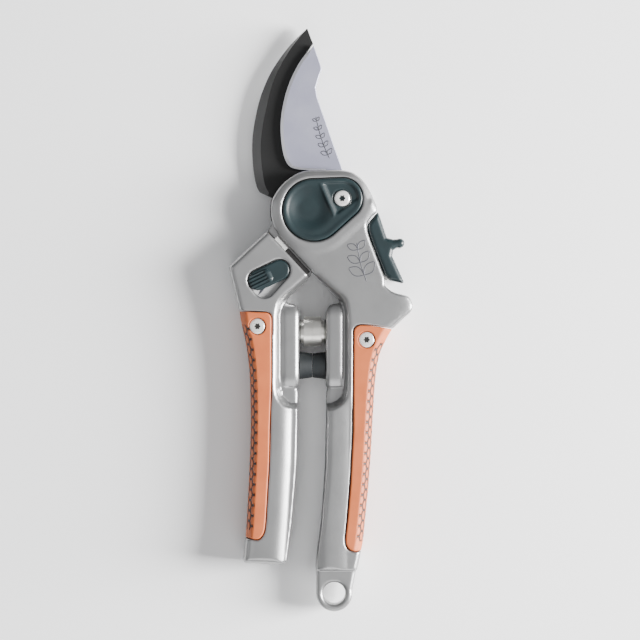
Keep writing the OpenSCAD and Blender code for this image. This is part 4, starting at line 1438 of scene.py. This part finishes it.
@dataclass
class Spring:
    """Volute spring between the pods, its seats, and the rubber buffers below it."""

    strip: Material
    seat: Material
    rubber: Material
    y: float = -46.3             # the spring's axis
    buffer_y: float = -59.3      # the buffers' axis
    mid_x: float = -0.46         # where the two buffers meet
    turns: float = 3.2
    parts: int = 160
    outer_r: float = 5.85
    shrink: float = 0.35         # how much the coils shrink over the first turn
    jump: float = 0.85           # from the middle coil to the ones inside it
    band: float = 3.35           # half width of the middle coil
    half: float = 4.35           # half width of the whole spring
    thick: float = 0.5
    lead: float = 0.4            # distance past the pods' faces

    def ribbon(self, side: float) -> Mesh:
        """One half of the spring: a spiral strip whose coils step outwards as they shrink.

        After n turns r = R0 - s min(n, 1) - j smooth(n - 1) - 2 s p, with p the share of the
        winding past the first turn, which spans from the middle to the band's edge; later
        turns are narrower by the jump j and reach out to the end.
        """
        turn = np.linspace(0, self.turns, self.parts)
        angle = 2 * math.pi * turn
        inner = ease(turn, 1.0, 1.25)
        past = np.clip((turn - 1) / (self.turns - 1), 0, 1)
        r = (self.outer_r - self.thick / 2 - self.shrink * np.minimum(turn, 1)
             - self.jump * inner - self.shrink * 2 * past)
        x0 = side * (-0.05 + 2.2 * past)
        x1 = side * (self.band + (self.half - self.band) * ease(turn, 1.25, 1.4))
        ring = []
        for x, dr in ((x0, -0.5), (x1, -0.5), (x1, 0.5), (x0, 0.5)):
            rr = r + dr * self.thick
            ring.append(np.stack([x, rr * np.sin(angle), rr * np.cos(angle)], axis=1))
        verts = np.stack(ring, axis=1)
        ends = [np.broadcast_to(v.mean(0), v.shape)[None] for v in (verts[0], verts[-1])]
        verts = np.concatenate((ends[0], verts, ends[1]))
        faces = grid_faces(len(verts), 4, closed_columns=True)
        if side < 0:
            faces = faces[:, ::-1]
        return verts.reshape(-1, 3), faces

    def build_all(self) -> None:
        """Spring, seats and buffers."""
        centre = ((RIGHT_POD_X + LEFT_POD_X) / 2, self.y, Z.mid)
        mesh = gather([moved(self.ribbon(s), centre) for s in (1.0, -1.0)])
        obj = build("spring_strip", *mesh, self.strip, None, "return_spring", sharp=30)
        tuple(np.array((RIGHT_POD_X - self.lead, self.y, Z.mid)) * MM)
        tuple(np.array((LEFT_POD_X + self.lead, self.y, Z.mid)) * MM)
        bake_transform(obj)
        for pod_x, body, half in ((RIGHT_POD_X, Body.RIGHT, "right"),
                                  (LEFT_POD_X, Body.LEFT, "left")):
            side = math.copysign(1, self.mid_x - pod_x)
            seat = np.array([(0, -3.0), (2.3, -3.0), (2.3, 0.0), (4.45, 0.0), (4.6, 0.12),
                             (4.6, 0.4), (4.45, 0.5), (2.2, 0.5), (2.2, 2.0), (1.9, 2.2),
                             (0, 2.2)])
            build(f"{half}_seat_steel", *along_x(turned(seat, 40), (pod_x, self.y, Z.mid), side),
                  self.seat, body, f"{half}_spring_seat", sharp=30)
            reach = abs(pod_x - self.mid_x) - 0.05
            pad = np.array([(0, -3.0), (2.3, -3.0), (2.3, 0), (5.1, 0), (5.25, 0.15),
                            (4.6, reach - 0.12), (4.45, reach), (0, reach)])
            build(f"{half}_buffer_rubber",
                  *along_x(turned(pad, 56), (pod_x, self.buffer_y, Z.mid), side),
                  self.rubber, body, f"{half}_bumper", sharp=28)


@dataclass
class Selector:
    """The lever that swings in the left handle's window."""

    nylon: Material
    floor: Material
    steel: Material
    mark: Material
    step: float = 0.22
    radius: float = 3.9
    floor_t: float = 0.6
    floor_centre: Point = (-17.6, -26.2)
    pin_r: float = 1.8
    mark_flat: float = 0.15      # the mark's height as a share of its width
    pitch: float = 1.3           # of the ribs
    pad_start: float = 3.6       # where the ribbed pad starts, behind the end's centre

    def build_all(self) -> None:
        """Floor, lever and pin."""
        low = Z.top - WINDOW_DEPTH
        floor = star_plate([window_outline()], self.floor_centre, low, low + self.floor_t, 0.1)
        build("window_floor", *floor, self.floor, Body.LEFT, "selector_floor", sharp=30)
        stripe = tube(np.array([(-18.6, -29.0, 0), (-19.2, -29.9, 0), (-20.2, -31.2, 0),
                                (-21.4, -32.8, 0)]), 0.45, 10)
        flattened = moved((stripe[0] * (1, 1, self.mark_flat), stripe[1]),
                          (0, 0, low + self.floor_t))
        build("window_mark", *flattened, self.mark, Body.LEFT)
        pin = turned(rounded_profile(self.pin_r, Z.hub_top + 0.1, Z.top - 1.7, 0.1, 0.1), 32)
        build("lever_pin", *moved(pin, (*LEVER_AT, 0)), self.steel, Body.SELECTOR,
              "selector_pin", sharp=30)
        self.lever(low + self.floor_t + 0.1)

    def lever(self, low: float) -> None:
        """The lever: a round-ended bar, ribbed along its free half.

        Across the ribs the pad's top falls by 0.25 (1 - cos(2 pi v / pitch)), with v across.
        """
        grid = Grid((-25.6, -31.4, low - 0.7), (-8.4, -18.2, Z.top + 0.6), self.step)
        way = np.subtract(LEVER_END, LEVER_AT)
        way = way / np.hypot(*way)
        flat = grid.outline(hull_outline((LEVER_AT, self.radius), (LEVER_END, self.radius)))
        body = grid.slab(flat, low - 1.2, Z.top - 0.85, 0.7)
        body = np.maximum(body, low - grid.z)
        dx, dy = grid.x - LEVER_END[0], grid.y - LEVER_END[1]
        u, v = dx * way[0] + dy * way[1], -dx * way[1] + dy * way[0]
        across = np.abs(v)
        over = np.maximum(np.maximum(-self.pad_start - u, u - 2.2), 0)
        pad = np.hypot(over, np.maximum(across - 1.0, 0)) - 1.6
        rib = 0.5 - 0.5 * np.cos(2 * math.pi * v / self.pitch)
        groove = 0.5 * rib * ease(u, -self.pad_start - 0.2, -self.pad_start + 0.8)
        raised = overlap(pad, grid.z - (Z.top - 0.08 - groove - 0.25 * ease(pad, -1.2, 0.1)),
                         low + 0.2 - grid.z)
        body = join(body, raised, 0.25)
        build_field("lever_nylon", body, grid, self.nylon, Body.SELECTOR, "selector_lever")


@dataclass
class Lock:
    """Thumb slider, its tongue, guide strip and detent spring, and the strips on the step."""

    nylon: Material
    steel: Material
    black: Material
    step: float = 0.34
    shy: float = 1.4             # how far the slider stays inside the front and back faces
    edge: float = 1.7            # rounding of its edges

    def strip(self, s0: float, s1: float, w0: float, w1: float) -> list[Point]:
        """Strip beside the notch's straight edge, from s0 to s1 along it."""
        return [tuple(NOTCH_AT + s * LOCK_DIR + w * LOCK_OUT)
                for s, w in ((s0, w0), (s1, w0), (s1, w1), (s0, w1))]

    def block(self, name: str, outline: list[Point], z0: float, z1: float, chamfer: float,
              material: Material, body: Body, node: str) -> None:
        """A small flat block."""
        centre = tuple(np.mean(outline, axis=0))
        build(name, *star_plate([outline], centre, z0, z1, chamfer), material, body, node,
              sharp=30)

    def build_all(self) -> None:
        """All of the lock's pieces and the step's strips."""
        grid = Grid((19.6, -29.6, 0.4), (36.2, 0.8, Z.top - 0.4), self.step)
        slider = grid.slab(grid.outline(slider_outline()), self.shy, Z.top - self.shy, self.edge)
        build_field("slider_nylon", slider, grid, self.nylon, Body.LOCK, "lock_slider")
        for name, at, low, high, chamfer, body, node in (
                ("tongue_steel", (2, 5, -4.2, 3), 2.2, 4, 0.15, Body.LOCK, "lock_tongue"),
                ("guide_steel", (-3, 16, -3, 3.2), -1.5, 1.5, 0.2, Body.RIGHT, "slider_guide"),
                ("detent_steel", (10.7, 19.8, -2, -1.6), 2.2, 4, 0.05, Body.RIGHT,
                 "detent_spring")):
            self.block(name, self.strip(*at), Z.mid + low, Z.mid + high, chamfer, self.steel,
                       body, node)
        inner = HEAD_R + 0.6
        for name, s0, s1, high, material, node in (
                ("pawl_steel", -2.0, 4.0, 3.0, self.steel, "stop_pawl"),
                ("step_rubber", 4.4, 16.4, 2.6, self.black, "edge_buffer")):
            outline = [tuple(d * STEP_DIR + s * STEP_ALONG) for d, s in (
                (inner, s0), (inner, s1), (STEP_D, s1), (STEP_D, s0))]
            self.block(name, outline, Z.hub_top, Z.hub_top + high, 0.3, material, Body.LEFT,
                       node)


@dataclass
class Marks:
    """Plain leaf sprigs on the head and on the blade."""

    ink: Material
    line: float = 0.22           # half width of the lines
    sway: float = 0.6            # how far a stem bows to the side
    bow: float = 0.26            # how far a leaf's side bows, as a share of its length
    narrow: float = 0.45         # how much shorter the leaves are at the top
    forward: float = 0.62        # the leaves' direction: this much along the stem
    sideways: float = 0.78       # and this much across it

    def sprig(self, foot: Point, way: Point, length: float, leaf: float, pairs: int,
              height: float) -> Mesh:
        """A stem with pairs of leaves, each leaf two arcs that meet at its ends.

        Args:
            foot: where the stem starts.
            way: its direction.
            length: its length.
            leaf: the length of the lowest leaves.
            pairs: how many pairs of leaves.
            height: the surface that it lies on.

        Returns:
            The mesh.
        """
        way = np.array(way, float) / math.hypot(*way)
        side = np.array((-way[1], way[0]))
        foot = np.array(foot, float)
        t = np.linspace(0, 1, 24)[:, None]
        lines = [foot + way * length * t + side * self.sway * np.sin(math.pi * t)]
        for k in range(pairs):
            share = (k + 0.6) / (pairs + 0.2)
            start = foot + way * length * share + side * self.sway * math.sin(math.pi * share)
            size = leaf * (1 - self.narrow * share)
            for hand in (1.0, -1.0):
                out = way * self.forward + side * self.sideways * hand
                turn = np.array((-out[1], out[0]))
                for bow in (self.bow, -self.bow):
                    lines.append(start + out * size * t + turn * size * bow * np.sin(math.pi * t))
        meshes = []
        for points in lines:
            path = np.column_stack((points, np.full(len(points), height - 0.1)))
            meshes.append(tube(path, self.line, 8))
        return gather(meshes)

    def build_all(self, drop: float) -> None:
        """Both marks."""
        head = self.sprig((20.4, -27.6), (-0.25, 1), 16.0, 7.2, 3, Z.top - drop)
        build("head_mark", *head, self.ink, Body.RIGHT)
        blade = self.sprig((6.3, 19.6), (-0.31, 0.951), 17.6, 3.1, 5, Z.blade_top)
        build("blade_mark", *blade, self.ink, Body.LEFT)


# --- Stage -----------------------------------------------------------------------------------


@dataclass(frozen=True)
class SoftLight:
    """A rectangular soft light; its place and size in metres, its power in watts."""

    name: str
    place: Place
    size: Point
    power: float


@dataclass
class Stage:
    """Floor, lights, world and camera."""

    floor_colour: str = "#FFFFFF"
    floor_roughness: float = 0.9
    floor_half: float = 6000.0
    floor_z: float = -0.4        # just below the shears' back
    sky_colour: str = "#F4F6FA"
    sky_strength: float = 0.24
    aim: Place = (0.0, -0.04, 0.0)   # what the lights face, in metres
    lens: float = 171.0
    sensor: float = 36.0
    camera_at: Place = (2.48, -41.9, 1174.0)
    lights: tuple[SoftLight, ...] = (
        SoftLight("right_box", (1.3, -0.05, 0.42), (0.5, 1.4), 150),
        SoftLight("high_box", (0.0, -0.04, 1.7), (1.3, 1.5), 3.8),
        SoftLight("low_box", (0.1, -1.15, 0.9), (1.2, 0.8), 9),
        SoftLight("left_strip", (-1.2, 0.0, 0.9), (0.6, 1.2), 2))

    def floor(self) -> None:
        """A pale floor under the shears."""
        material = bpy.data.materials.new("studio_floor")
        material.use_nodes = True
        shader = material.node_tree.nodes["Principled BSDF"]
        shader.inputs["Base Color"].default_value = linear(self.floor_colour)
        shader.inputs["Roughness"].default_value = self.floor_roughness
        corners = ((-1, -1), (1, -1), (1, 1), (-1, 1))
        verts = np.array([(x * self.floor_half, y * self.floor_half, self.floor_z)
                          for x, y in corners]) * MM
        mesh = bpy.data.meshes.new("floor")
        mesh.from_pydata(verts.tolist(), [], [(0, 1, 2, 3)])
        mesh.materials.append(material)
        obj = bpy.data.objects.new("floor", mesh)
        bpy.context.scene.collection.objects.link(obj)

    def light(self, lamp: SoftLight) -> None:
        """Adds a soft light that faces the shears."""
        data = bpy.data.lights.new(lamp.name, "AREA")
        data.shape = "RECTANGLE"
        data.size, data.size_y = lamp.size
        data.energy = lamp.power
        obj = bpy.data.objects.new(lamp.name, data)
        obj.location = lamp.place
        way = np.array(self.aim) - np.array(lamp.place)
        obj.rotation_euler = Vector(way).to_track_quat("-Z", "Y").to_euler()
        bpy.context.scene.collection.objects.link(obj)

    def camera(self) -> None:
        """Camera straight above the shears."""
        data = bpy.data.cameras.new("camera")
        data.lens, data.sensor_width = self.lens, self.sensor
        obj = bpy.data.objects.new("camera", data)
        obj.location = tuple(c * MM for c in self.camera_at)
        bpy.context.scene.collection.objects.link(obj)
        bpy.context.scene.camera = obj

    def build_all(self) -> None:
        """Floor, world, lights and camera."""
        self.floor()
        world = bpy.data.worlds.new("studio")
        world.use_nodes = True
        back = world.node_tree.nodes["Background"]
        back.inputs["Color"].default_value = linear(self.sky_colour)
        back.inputs["Strength"].default_value = self.sky_strength
        bpy.context.scene.world = world
        for lamp in self.lights:
            self.light(lamp)
        self.camera()


def main() -> None:
    """Builds every piece in order."""
    logging.basicConfig(level=logging.INFO, format="%(message)s")
    cast, teal = CAST.make(), TEAL.make()
    bright, zinc, bronze = BRIGHT.make(), ZINC.make(), BRONZE.make()
    ink = MARK.make()
    castings = Castings(cast)
    castings.right()
    castings.left()
    castings.back()
    Grips(TAN.make()).build_all()
    Blades(BLADE.make(), COATED.make()).build_all()
    Pivot(teal, zinc, bronze).build_all()
    Screws(bright, zinc).build_all()
    Spring(SPRING.make(), zinc, BUFFER.make()).build_all()
    Selector(teal, PALE.make(), zinc, ink).build_all()
    Lock(teal, bright, GASKET.make()).build_all()
    Marks(ink).build_all(castings.drop)
    Stage().build_all()


if __name__ == "__main__":
    main()
